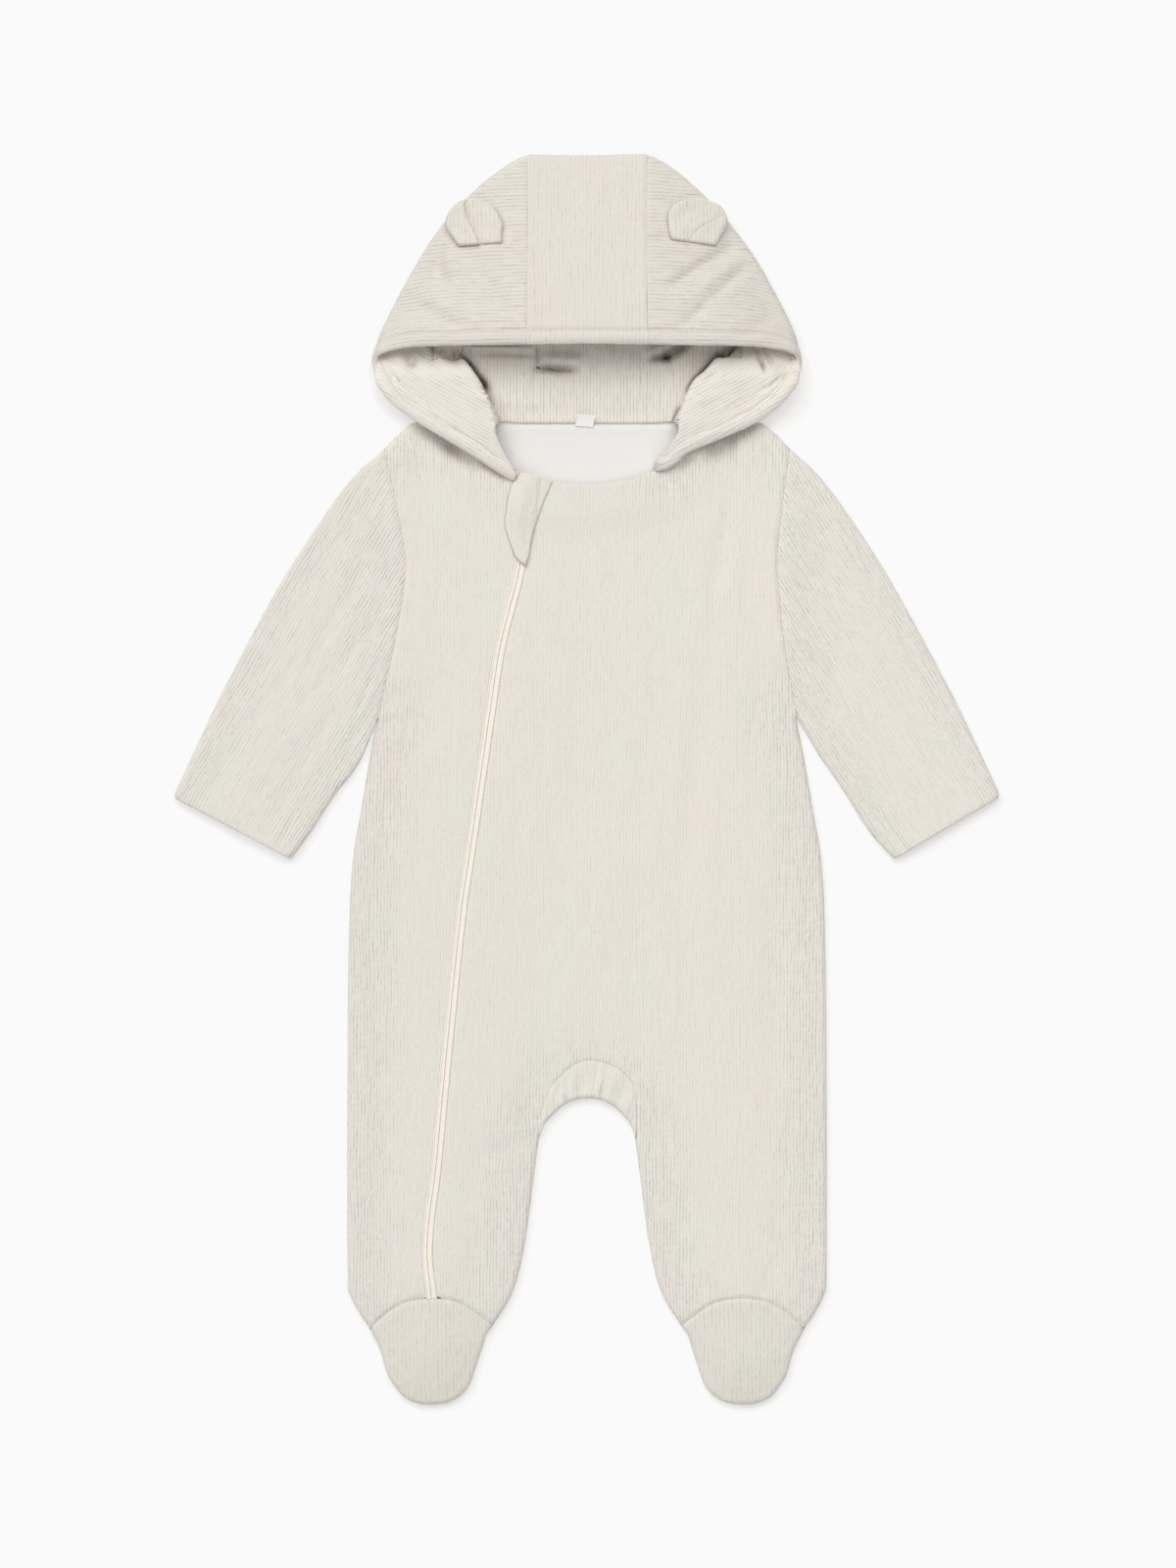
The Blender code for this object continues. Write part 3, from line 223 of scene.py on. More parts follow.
# Columns of the hood's grid: lengths from the rim, then steps to the fold, round it and to the neck
RIM_MARKS = np.array([0, 0.2, 0.55, 1.0, 1.6, 2.4, 3.4, 4.6, 5.8, 6.8, 7.5, 8.0, 8.5, 9.2, 10.2])
RIM_SHARE = 0.62           # the most of a short meridian that those take
TOP_STEPS, FOLD_STEPS, LOW_STEPS = 48, 10, 116
CLIMB_STEPS = 3
ROW_STEP = 1.9
SEAM_ROWS = (0.06, 0.5, 1.1, 1.9, 3.0)  # rows beside the centre strip's seams, mm from it
HOOD_SEAM_ROW = 1.0
HEM_STITCH = 8.0           # topstitching's distance from the rim
# The hem's relief: distance from the rim, half width, height
HEM_SHAPE = ((4.2, 2.8, 1.0), (HEM_STITCH, 0.8, -0.95), (10.4, 1.6, 0.25))
RIM_ROUND = 2.8
END_TAPER = 15.0           # length over which the rim's two ends thin out
STITCH_COLUMN = int(np.argmin(np.abs(RIM_MARKS - HEM_STITCH)))
STITCH_LENGTH, STITCH_PITCH, STITCH_RADIUS = 2.3, 3.1, 0.17
# A stitch from end to end: place along it, share of its radius
STITCH_SHAPE = ((0.0, 0.35), (0.14, 0.85), (0.5, 1.0), (0.86, 0.85), (1.0, 0.35))
STITCH_SIDES = 6
NEAR_RIM = len(RIM_MARKS) + 22  # columns whose distance from the rim is measured, not read off the grid
HOLLOW_HALF = 88.0         # the hollow's half width, where the lining's ribs run down
# Hood creases: from x, y to x, y, half width, depth
HOOD_FOLDS = [
    (88, 307, 45.9, 278.9, 3.4, 3.2), (92, 293, 55, 258, 3.0, 1.7), (92, 300, 52, 269, 2.5, -0.8),
    (-70, 300, -46, 268, 5, 1.6), (-104, 268, -66, 255, 5, 1.6), (14, 340, 10, 285, 9, 0.3),
    (70, 330, 48, 318, 4, 0.8), (-66, 334, -46, 322, 4, 0.7), (-94, 289, -52, 281, 3.6, 0.9),
    (-86, 304, -82, 276, 5, 1.8), (-100, 273, -74, 256, 4, 1.9), (20, 285, -26, 262, 8, 0.4),
    (106, 262, 84, 252, 4, 0.9), (-20, 300, 24, 306, 7, 0.3), (-88, 297, -80, 280, 4, 1.4),
    (-60, 277, -38, 264, 3.4, 1.2), (66, 262, 40, 252, 4, 0.6), (-42, 303, -36, 306, 2.5, 0.8),
    (38, 308, 46, 306, 2.5, 0.8)]
# Lining creases in the hollow, the same; a ridge is negative
LINING_FOLDS = [
    (-68, 218, -26, 214, 4.5, -1.4), (-6, 250, 20, 243, 6.0, -1.2), (-30, 209, 34, 207, 3.0, 0.5),
    (95, 251, 101, 233, 1.5, 2.6), (99.5, 251, 105.5, 235, 1.4, 2.0), (-104, 248, -99, 233, 2.6, 3.4),
    (-98, 249, -80, 235, 1.8, -1.8), (-92, 250, -72, 236, 1.5, 1.8), (10, 222, 40, 219, 5.0, -0.9),
    (-86, 248, -74, 239, 1.3, 1.6), (-80, 251, -70, 242, 1.2, -1.4), (-117, 240, -104, 228, 1.4, -0.8),
    (66, 226, 84, 240, 2.0, 1.0), (-46, 222, -34, 226, 2.0, -0.8), (60, 214, 74, 219, 3.0, -0.6)]
# Those in the hollow's depth only
HOLLOW_FOLDS = [
    (-24, 239.6, -2, 238.4, 3.4, -3.6), (-31, 234.6, -5, 233.2, 1.7, 4.6),
    (-28.9, 249, -28.7, 233, 1.2, 3.0), (-60, 243.0, -30, 242.4, 1.4, 3.0),
    (-84, 246.8, -32, 245.8, 1.6, -3.0), (52, 250, 34, 243, 2.8, -3.2), (62, 252, 45, 239.8, 2.4, 4.6),
    (48, 240.2, 34, 240.4, 1.8, 3.6), (-77, 245, -66, 234, 2.0, 5.0), (-67, 236, -57.4, 222, 1.7, 4.2),
    (88, 251, 75, 239, 2.4, 6.0), (78, 242.4, 65.5, 229, 2.2, 5.5), (67, 232, 58, 222, 1.6, 3.4),
    (53.4, 212, 51.0, 204, 1.8, 2.4), (-20, 231, 0, 229, 3.0, 0.9), (30, 229, 14, 232, 2.6, 0.8)]
# Painted shade where creases are too narrow or too deep for the cloth's own shadow, the same with a share of
# darkness: lining's lobes, its hollow, and the front under the hood's rims
LOBE_PAINTED_SHADE = [
    (-104, 249, -98.5, 235, 2.6, 0.5), (-92, 247, -76, 237, 2.0, 0.3), (-118, 243, -110, 237, 2.4, 0.25),
    (96, 251, 101, 232, 1.3, 0.6), (101, 250, 106, 236, 1.2, 0.4), (108, 246, 116, 240, 2.4, 0.25)]
HOLLOW_PAINTED_SHADE = [
    (-77, 244, -66, 234, 1.6, 0.5), (-71, 239, -57, 222, 3.0, 0.85), (-60, 230, -54, 212, 2.6, 0.35),
    (-28.5, 247, -28.5, 236, 1.0, 0.3), (-29, 234.8, -6, 233.4, 2.2, 0.42), (-27, 236, -12, 233, 4.5, 0.15),
    (58, 250, 42, 240.8, 3.2, 0.62), (48, 240.4, 36, 240.8, 2.4, 0.5), (86, 249, 74, 238, 2.4, 0.75),
    (77, 242, 60, 226, 2.4, 0.75), (63, 230, 56, 220, 1.6, 0.4), (54.0, 210, 49.6, 203.0, 1.6, 0.75)]
FRONT_PAINTED_SHADE = [
    (-97, 202, -72, 184, 4.2, 0.34), (-84, 192, -62, 177, 3.6, 0.30), (-62, 180, -46, 171, 1.8, 0.34),
    (98, 203, 80, 192, 3.6, 0.30), (86, 192, 66, 184, 4.4, 0.34), (62, 184, 52, 177, 2.2, 0.26)]
# Dart seams out of the ears' bases
DARTS = [[(-73.4, 303.5), (-60, 305.4), (-48.2, 305.0), (-36.5, 304.6)],
         [(73.4, 303.8), (60, 306), (47.6, 307.4), (35.5, 308)]]

# Ears: the two sides of the outline from the dart seam to the tip
EARS = {
    "left": ([(-73.4, 303.5), (-80.1, 313.6), (-80.6, 318.1), (-78.5, 323.4), (-74.5, 328.2), (-69, 330.6)],
             [(-48.2, 305.2), (-48.6, 310), (-48.2, 315.8), (-50.4, 321.4), (-54.9, 327), (-62.5, 330.4)]),
    "right": ([(47.6, 307), (46.4, 313), (45.9, 321.4), (48.4, 326), (53.4, 329.2), (59, 330.8)],
              [(73.4, 303.8), (78.4, 313), (80.2, 318), (79, 322.4), (75.6, 327), (66, 331)]),
}
EAR_PLY = 2.8
EAR_LIFT = 4.5
EAR_HOLLOW = {"left": 2.0, "right": 1.4}
EAR_AIR = 0.6
EAR_FOLLOW = 0.35          # how much of the leaf's level it keeps over the hood's own fall
# The pinch across each ear: place across it at the base, its lean towards the tip, height of the strip on its
# left, depth of the dip on its right and that dip's width
EAR_PLEAT = {"left": (0.50, -0.30, 1.9, 1.9, 1.7), "right": (0.42, 1.90, 0.1, 0.3, 2.0)}


# ---- curves -----------------------------------------------------------------------------------

def spline(points, at):
    """Catmull-Rom curve through the rows of points, one row for each whole number, read at `at`."""
    rows = np.asarray(points, float)
    rows = np.vstack([2 * rows[0] - rows[1], rows, 2 * rows[-1] - rows[-2]])
    at = np.clip(np.asarray(at, float), 0, len(rows) - 3)
    base = np.minimum(at.astype(int), len(rows) - 4)
    t = (at - base)[:, None]
    a, b, c, d = rows[base], rows[base + 1], rows[base + 2], rows[base + 3]
    return 0.5 * (2 * b + (c - a) * t + (2 * a - 5 * b + 4 * c - d) * t ** 2
                  + (3 * b - a - 3 * c + d) * t ** 3)


def run_lengths(path):
    return np.concatenate([[0], np.cumsum(np.linalg.norm(np.diff(path, axis=0), axis=1))])


def read_at(path, marks):
    """Points of a dense path at the given lengths along it."""
    lengths = run_lengths(path)
    return np.stack([np.interp(marks, lengths, path[:, k]) for k in range(path.shape[1])], axis=1)


def by_length(path, count=None, step=None):
    total = run_lengths(path)[-1]
    if count is None:
        count = max(2, int(round(total / step)) + 1)
    return read_at(path, np.linspace(0, total, count))


def smooth(points, count=None, step=OUTLINE_STEP):
    return by_length(spline(points, np.linspace(0, len(points) - 1, 24 * len(points))), count, step)


def signed(points, side):
    return [(-row[0],) + tuple(row[1:]) for row in points] if side == "left" else list(points)


def unit(rows):
    return rows / np.linalg.norm(rows, axis=-1, keepdims=True)


def left_of(along):
    """Plan directions turned a quarter to their left."""
    return np.stack([-along[:, 1], along[:, 0]], axis=1)


def shifted(path, distance):
    """The path moved sideways, to its left as it runs."""
    return path + distance * left_of(unit(np.gradient(path, axis=0)))


def nearest(points, path):
    """Signed distance from each plan point to a polyline, positive on its left, and the length along it."""
    best = np.full(len(points), 1e9)
    away, at = np.zeros(len(points)), np.zeros(len(points))
    run = 0.0
    for a, b in zip(path[:-1], path[1:]):
        span = b - a
        length = math.hypot(*span)
        if length < 1e-9:
            continue
        gap = points - a
        t = np.clip((gap @ span) / length ** 2, 0, 1)
        turn = span[0] * gap[:, 1] - span[1] * gap[:, 0]
        far = np.hypot(gap[:, 0] - t * span[0], gap[:, 1] - t * span[1])
        closer = far < best
        best[closer] = far[closer]
        away[closer] = np.where(turn < 0, -far, far)[closer]
        at[closer] = (run + t * length)[closer]
        run += length
    return away, at


def distance_to(points, paths):
    return np.min([np.abs(nearest(points, path)[0]) for path in paths], axis=0)


def inside(points, outline):
    x, y = points[:, 0], points[:, 1]
    found = np.zeros(len(points), bool)
    for (ax, ay), (bx, by) in zip(outline, np.roll(outline, -1, axis=0)):
        crosses = (ay > y) != (by > y)
        with np.errstate(divide="ignore", invalid="ignore"):
            found ^= crosses & (x < (bx - ax) * (y - ay) / (by - ay) + ax)
    return found


def ease(value, low, high):
    t = np.clip((value - low) / (high - low), 0, 1)
    return t * t * (3 - 2 * t)


def bell(value, width):
    return np.exp(-(value / width) ** 2)


def quarter(depth, radius):
    """0 at an edge, 1 a radius inside it, along a quarter circle."""
    t = 1 - np.clip(depth / radius, 0, 1)
    return np.sqrt(np.maximum(1 - t * t, 0))


def noise(u, v, seed):
    """Smooth noise from -1 to 1, one cell for each unit."""
    iu, iv = np.floor(u), np.floor(v)
    fu, fv = ease(u - iu, 0, 1), ease(v - iv, 0, 1)

    def corner(du, dv):
        value = np.sin((iu + du) * 127.1 + (iv + dv) * 311.7 + seed * 74.7) * 43758.5453
        return 2 * (value - np.floor(value)) - 1

    low = corner(0, 0) * (1 - fu) + corner(1, 0) * fu
    high = corner(0, 1) * (1 - fu) + corner(1, 1) * fu
    return low * (1 - fv) + high * fv


def crinkle(across, along, seed=1):
    """Padded crinkled cloth, in mm: short irregular ribs along the grain, on slow swells."""
    ribs = 0.16 * noise(across / 6.0, along / 34, seed) + 0.11 * noise(across / 4.2, along / 19, seed + 1)
    return ribs + 0.28 * noise(across / 30, along / 62, seed + 2)


def troughs(points, folds):
    """Summed depth of the creases at each plan point; each fades out at its ends."""
    depth = np.zeros(len(points))
    for ax, ay, bx, by, half_width, deep in folds:
        start, span = np.array((ax, ay)), np.array((bx - ax, by - ay))
        along = ((points - start) @ span) / (span @ span)
        across = ((points - start) @ np.array((-span[1], span[0]))) / np.linalg.norm(span)
        fade = ease(along, -0.15, 0.25) * (1 - ease(along, 0.75, 1.15))
        depth += deep * fade * bell(across, half_width)
    return depth


# ---- materials --------------------------------------------------------------------------------

def fill(tree, node, inputs):
    """Set or link a node's inputs, by name or number."""
    for key, value in inputs.items():
        if isinstance(value, bpy.types.NodeSocket):
            tree.links.new(value, node.inputs[key])
        else:
            node.inputs[key].default_value = value


def add(tree, kind, inputs, output=0, **settings):
    """A new node; returns one of its outputs, the first unless another is named."""
    node = tree.nodes.new(kind)
    for key, value in settings.items():
        setattr(node, key, value)
    fill(tree, node, inputs)
    return node.outputs[output]


# Painted shade: a point whose painted shade is 1 loses this much of its red, green and blue
PAINTED_SHADE_TONE = (-0.92, -0.96, -1.0)


def fabric(name, colour, rib=(2.3, 0.5), depth=0.2, shade=0.09, weave=0.14, drift=0.012, sway=3.6,
           roughness=0.93):
    """Crinkled cotton: wandering ribs with thin grooves that come and go, small crumples and a fine weave.

    `rib` is the pitch in mm and the ribs' share of the relief, `depth` the relief in mm, `shade` how much
    painted shade darkens the grooves, with a quarter of it lightening the ridges as painted highlight,
    `drift` the slow change of tint and `sway` how far the ribs wander in mm.
    """
    made = bpy.data.materials.new(name)
    made.use_nodes = True
    tree = made.node_tree
    pitch, share = rib

    def maths(operation, *values):
        return add(tree, "ShaderNodeMath", dict(enumerate(values)), operation=operation)

    def vectors(operation, *values):
        return add(tree, "ShaderNodeVectorMath", dict(enumerate(values)), operation=operation)

    def streaks(place, width, length, detail):
        """Noise stretched along the grain, with cells of width by length in mm."""
        cells = vectors("MULTIPLY", place, (1 / width, 1 / length, 0))
        return add(tree, "ShaderNodeTexNoise",
                   {"Vector": cells, "Scale": 1.0, "Detail": detail, "Roughness": 0.5})

    grain = add(tree, "ShaderNodeAttribute", {}, "Vector", attribute_name="grain")
    strength = add(tree, "ShaderNodeSeparateXYZ", {0: grain}, "Z")
    wander = maths("MULTIPLY", maths("SUBTRACT", streaks(grain, 11, 34, 2), 0.5), sway)
    warped = vectors("ADD", grain, add(tree, "ShaderNodeCombineXYZ", {0: wander}))
    across = add(tree, "ShaderNodeSeparateXYZ", {0: warped})
    wave = maths("SINE", maths("MULTIPLY", across, math.pi / pitch))
    ribs = maths("POWER", maths("ABSOLUTE", wave), 0.55)
    held = add(tree, "ShaderNodeMapRange", {"Value": streaks(warped, 2.4, 12, 2), "From Min": 0.34,
                                            "From Max": 0.62, "To Min": 0.4, "To Max": 1.0})
    ribs = maths("MULTIPLY_ADD", maths("SUBTRACT", ribs, 1.0), held, 1.0)
    crumple = maths("MULTIPLY", streaks(warped, 1.9, 3.1, 2), 1.7 * (1 - share))
    relief = maths("MULTIPLY_ADD", ribs, share, crumple)
    relief = maths("MULTIPLY_ADD", streaks(grain, 0.55, 0.9, 1), weave, relief)
    mean = 0.8 * share + 0.85 * (1 - share) + 0.5 * weave
    relief = maths("MULTIPLY_ADD", maths("SUBTRACT", relief, mean), maths("ADD", strength, 1.0), mean)
    bump = add(tree, "ShaderNodeBump", {"Height": relief, "Strength": 1.0, "Distance": depth * MM})
    # Painted shade and painted highlight: the colour is darker in the relief's grooves and lighter on its
    # ridges
    painted_dark = (*(c * (1 - shade) for c in colour), 1)
    light = (*(min(c * (1 + 0.25 * shade), 1) for c in colour), 1)
    tone = add(tree, "ShaderNodeMapRange", {"Value": relief, "From Min": 0.1, "From Max": 0.9})
    relief_painted_shade = add(tree, "ShaderNodeMix", {"Factor": tone, "A": painted_dark, "B": light}, "Result", data_type="RGBA")
    tint = add(tree, "ShaderNodeValToRGB", {"Fac": streaks(grain, 46, 70, 2)})
    cool, warm = tint.node.color_ramp.elements
    cool.position, warm.position = 0.32, 0.68
    cool.color = (1 - drift, 1 + 0.4 * drift, 1 - 0.6 * drift, 1)
    warm.color = (1 + drift, 1 - 0.3 * drift, 1 - 0.2 * drift, 1)
    # Painted shade that each point carries, for creases and hollows too narrow or deep for their own shadow
    painted_shade = add(tree, "ShaderNodeAttribute", {}, attribute_name="painted_shade")
    kept = vectors("MULTIPLY_ADD", painted_shade, PAINTED_SHADE_TONE, (1, 1, 1))
    drawn = vectors("MULTIPLY", vectors("MULTIPLY", relief_painted_shade, tint), kept)
    fill(tree, tree.nodes["Principled BSDF"], {
        "Base Color": drawn, "Normal": bump, "Roughness": roughness, "Sheen Weight": 0.25,
        "Sheen Roughness": 0.5, "Specular IOR Level": 0.25})
    return made


LOOKS = {name: fabric(name, colour, **rest) for name, colour, rest in (
    ("cotton", (0.795, 0.763, 0.695), dict(rib=(1.9, 0.5), depth=0.34, shade=0.17, weave=0.26, drift=0.018)),
    # hood_cotton is a darker copy of the body's cotton: painted shade for the hood's sloping sides
    ("hood_cotton", (0.728, 0.688, 0.623), dict(rib=(2.2, 0.6), depth=0.52, shade=0.24, sway=2.6)),
    ("hood_centre", (0.74, 0.697, 0.63), dict(depth=0.38, shade=0.20, weave=0.24)),
    ("foot_cotton", (0.742, 0.713, 0.64), dict(depth=0.46, shade=0.24, weave=0.24)),
    ("ear_cotton", (0.765, 0.72, 0.652), dict(depth=0.46, shade=0.24)),
    ("hood_lining", (0.818, 0.776, 0.708), dict(rib=(1.9, 0.65), depth=0.44, shade=0.24, sway=1.6)),
    ("white_jersey", (0.848, 0.848, 0.822), dict(rib=(1.1, 0.3), depth=0.06, shade=0.02, drift=0.004)),
    ("zip_tape", (0.93, 0.88, 0.79), dict(rib=(0.9, 0.3), depth=0.04, shade=0.03, drift=0.004)),
    ("thread", (0.69, 0.64, 0.565), dict(rib=(0.4, 0.8), depth=0.05, shade=0.05, drift=0.0)),
    ("size_tab", (0.90, 0.90, 0.89), dict(rib=(0.8, 0.3), depth=0.05, shade=0.02, drift=0.0, roughness=0.55)),
)}
DRAWN_WITH = {"ear_left": "ear_cotton", "ear_right": "ear_cotton", "hood_side_left": "hood_cotton",
              "hood_side_right": "hood_cotton", "hood_centre": "hood_centre"}


# ---- meshes -----------------------------------------------------------------------------------

def slot_of(node):
    parts = frame["record"]["subparts"]
    return next(part["material_slot"] for part in parts if part["node"] == node)


def new_piece(name, points, faces, look, grain, node=None):
    """A piece of the part's one body, of points in mm; it hides the CAD node that it replaces.

    Each point's grain is its place across and along the ribs in mm, how much more than plain they stand out,
    and its painted shade, how much darker its colour is painted where shade falls. The last two are 0 if left
    out.
    """
    a, b, c = (points[faces[:, k]] for k in range(3))
    if np.einsum("ij,ij->i", a, np.cross(b, c)).sum() < 0:
        faces = faces[:, ::-1]
    mesh = bpy.data.meshes.new(name)
    mesh.from_pydata((points * MM).tolist(), [], faces.tolist())
    mesh.shade_smooth()
    mesh.materials.append(LOOKS[look])
    grain = np.column_stack([grain, np.zeros((len(grain), 4 - grain.shape[1]))])
    mesh.attributes.new("grain", "FLOAT_VECTOR", "POINT").data.foreach_set("vector", grain[:, :3].ravel())
    mesh.attributes.new("painted_shade", "FLOAT", "POINT").data.foreach_set("value", np.clip(grain[:, 3], 0, 0.9))
    piece = bpy.data.objects.new(name, mesh)
    bpy.context.scene.collection.objects.link(piece)
    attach(piece, "root")
    if node:
        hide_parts(node)
    return piece


def cloth(node, points, faces, grain):
    """The closed shell that stands for a CAD node."""
    slot = slot_of(node)
    piece = new_piece("cloth_" + node, points, faces, DRAWN_WITH.get(node, slot), grain, node)
    piece.data.set_sharp_from_angle(angle=math.radians(60))


def grid_faces(rows, columns, start=0, ring=False):
    wide = columns if ring else columns - 1
    i, j = np.meshgrid(np.arange(rows - 1), np.arange(wide), indexing="ij")
    a = (start + i * columns + j).ravel()
    b = (start + i * columns + (j + 1) % columns).ravel()
    c, d = a + columns, b + columns
    return np.concatenate([np.column_stack([a, b, d]), np.column_stack([a, d, c])])


def wall(node, outer, inner, grain, ring=False):
    """A cloth wall between two grids of points with the same rows and columns."""
    rows, columns = outer.shape[:2]
    size = rows * columns
    faces = [grid_faces(rows, columns, 0, ring), grid_faces(rows, columns, size, ring)[:, ::-1]]
    first = list(range(columns)) + ([0] if ring else [])
    loops = [(first, 1), ([(rows - 1) * columns + j for j in first], -1)]
    if not ring:
        starts = [i * columns for i in range(rows)]
        loops += [(starts, -1), ([i + columns - 1 for i in starts], 1)]
    for loop, turn in loops:
        for a, b in zip(loop[:-1], loop[1:]):
            faces.append(np.array([(a, a + size, b + size), (a, b + size, b)])[:, ::turn])
    points = np.concatenate([outer.reshape(-1, 3), inner.reshape(-1, 3)])
    grain = grain.reshape(-1, grain.shape[-1])
    cloth(node, points, np.concatenate(faces), np.concatenate([grain, grain]))


def layer(outline, step, rows=()):
    """Plan points and triangles over a closed outline, with rows of points just inside it."""
    inward = left_of(unit(np.roll(outline, -1, axis=0) - np.roll(outline, 1, axis=0)))
    edge = np.vstack([outline, outline[:1]])
    plan = [outline]
    for depth in rows:
        row = outline + depth * inward
        row = row[inside(row, outline)]
        plan.append(row[distance_to(row, [edge]) > 0.93 * depth])
    low, high = outline.min(axis=0), outline.max(axis=0)
    ys = np.arange(low[1], high[1], step * 0.866)
    lattice = np.concatenate([np.column_stack([xs, np.full(len(xs), y)]) for k, y in enumerate(ys)
                              for xs in [np.arange(low[0] + (k % 2) * step / 2, high[0], step)]])
    lattice = lattice[inside(lattice, outline)]
    clear = (max(rows) if rows else 0) + 0.5 * step
    plan = np.concatenate(plan + [lattice[distance_to(lattice, [edge]) > clear]])
    found = delaunay_2d_cdt([Vector(p) for p in plan.tolist()], [], [list(range(len(outline)))], 1, 1e-5)
    where = {old: new for new, group in enumerate(found[3]) for old in group}
    return np.array([tuple(v) for v in found[0]]), np.array(found[2]), [where[k] for k in range(len(outline))]


def panel(node, outline, top, bottom, top_step=FINE_STEP, bottom_step=COARSE_STEP, top_rows=EDGE_ROWS,
          bottom_rows=(), strength=None):
    """A shell over a closed outline, its two sides read from functions of the plan points."""
    following = np.roll(outline, -1, axis=0)
    if (outline[:, 0] * following[:, 1] - following[:, 0] * outline[:, 1]).sum() < 0:
        outline = outline[::-1]
    high, high_faces, high_edge = layer(outline, top_step, top_rows)
    low, low_faces, low_edge = layer(outline, bottom_step, bottom_rows)
    size = len(high)
    a, b = np.array(high_edge), np.roll(high_edge, -1)
    c, d = np.array(low_edge) + size, np.roll(low_edge, -1) + size
    faces = np.concatenate([high_faces, low_faces[:, ::-1] + size, np.column_stack([a, c, d]),
                            np.column_stack([a, d, b])])
    points = np.concatenate([np.column_stack([high, top(high)]), np.column_stack([low, bottom(low)])])
    grain = np.column_stack([points[:, :2], strength(points[:, :2])]) if strength else points[:, :2]
    cloth(node, points, faces, grain)


def stitches(name, path):
    """One mesh of thread stitches along a path on the cloth, each a small rod with rounded ends."""
    dense = by_length(path, step=0.3)
    marks = np.arange(0.4, run_lengths(dense)[-1] - STITCH_LENGTH, STITCH_PITCH)
    starts, ends = read_at(dense, marks), read_at(dense, marks + STITCH_LENGTH)
    along = unit(ends - starts)
    across = unit(np.cross(along, (0, 0, 1.0)))
    turns = (np.arange(STITCH_SIDES) * 2 * math.pi / STITCH_SIDES)[:, None]
    circle = across[:, None] * np.cos(turns) + np.cross(across, along)[:, None] * np.sin(turns)
    rings = [(starts + (ends - starts) * t)[:, None] + STITCH_RADIUS * wide * circle
             for t, wide in STITCH_SHAPE]
    points = np.stack(rings, axis=1).reshape(-1, 3)
    size = len(STITCH_SHAPE) * STITCH_SIDES
    last = size - STITCH_SIDES
    one = [tuple(face) for face in grid_faces(len(STITCH_SHAPE), STITCH_SIDES, 0, True)]
    one += [(0, k + 1, k) for k in range(1, STITCH_SIDES - 1)]
    one += [(last, last + k, last + k + 1) for k in range(1, STITCH_SIDES - 1)]
    faces = (np.array(one)[None] + (np.arange(len(starts)) * size)[:, None, None]).reshape(-1, 3)
    return new_piece(name, points, faces, "thread", points[:, :2])


# ---- body -------------------------------------------------------------------------------------

def curve_table():
    made = {}
    for side, _ in SIDES:
        for name, points in (("side", SIDE_EDGE), ("leg", INNER_LEG), ("foot_seam", FOOT_SEAM),
                             ("toe", TOE_EDGE), ("shoulder", SHOULDER), ("armhole", ARMHOLES[side])):
            made[name, side] = smooth(signed(points, side))
    made["zip"] = smooth(ZIP_LINE)
    made["gusset"] = smooth(GUSSET_SEAM, step=1.2)
    made["crotch"] = smooth(CROTCH_EDGE, len(made["gusset"]))
    return made


CURVES = curve_table()
SILHOUETTE = [CURVES[name, side][::2] for name in ("side", "leg", "toe", "shoulder") for side, _ in SIDES]
SILHOUETTE.append(CURVES["crotch"][::3])
NECK_EDGE = [smooth(NECK_LEFT), smooth(NECK_RIGHT)]
# Seams that show on the body: curve, depth of the dip, height of the puckers
SEAMS = [(CURVES["armhole", "left"], 1.0, 0.30), (CURVES["armhole", "right"], 1.0, 0.34),
         (CURVES["gusset"], 0.4, 0.32), (CURVES["foot_seam", "left"], 1.1, 0.26),
         (CURVES["foot_seam", "right"], 1.1, 0.26)]


HOOD_LINES = [smooth(signed([row[:2] for row in CHEEK_ROWS[sign]], side)) for side, sign in SIDES]


def seam_relief(points, seams=SEAMS):
    """The dip and the small puckers beside each seam."""
    height = np.zeros(len(points))
    for k, (path, dip, pucker) in enumerate(seams):
        away, at = nearest(points, path)
        height -= dip * bell(away, 1.2)
        height += pucker * bell(away, 6.5) * noise(at / 3.6, away / 9, 20 + k)
    return height


def air_between(points, from_edge):
    middle = PUFF * ease(from_edge, 4, 55) - troughs(points, FRONT_FOLDS)
    lift = NECK_LIFT * (1 - ease(distance_to(points, NECK_EDGE), 14, 34))
    body = np.maximum(SLACK * ease(from_edge, 0, 12) + np.maximum(middle, -0.35), 0)
    return body + lift * ease(from_edge, 4, 16)


def front_low(points):
    return WALL + SEAM_GAP + air_between(points, distance_to(points, SILHOUETTE))


def front_high(points):
    from_edge = distance_to(points, SILHOUETTE)
    full = WALL + SEAM_GAP + air_between(points, from_edge) + WALL
    free = ease(distance_to(points, HOOD_LINES), 0, 10)
    full = full + crinkle(*points.T) * (0.35 + 0.65 * free) + seam_relief(points)
    full -= troughs(points, SHOULDER_DIPS)
    full -= 1.5 * (1 - quarter(distance_to(points, NECK_EDGE), 2.2))
    full -= 0.7 * bell(nearest(points, CURVES["zip"])[0], 4.4)
    low = WALL + SHOWN_GAP / 2 + EDGE_LIP
    return low + (full - low) * quarter(from_edge, EDGE_ROUND)


def crinkled(points):
    """How much more than plain the ribs stand out at each point, and its painted shade under the hood's rims.

    They stand out most near the body's edges and the hood's rims.
    """
    near_edge = 1 - ease(distance_to(points, SILHOUETTE), 6, 40)
    near_hood = 1 - ease(distance_to(points, HOOD_LINES), 6, 26)
    # The second column is painted shade: the hood's rims' shadow on the shoulders
    return np.column_stack([np.maximum(near_edge, near_hood), troughs(points, FRONT_PAINTED_SHADE)])


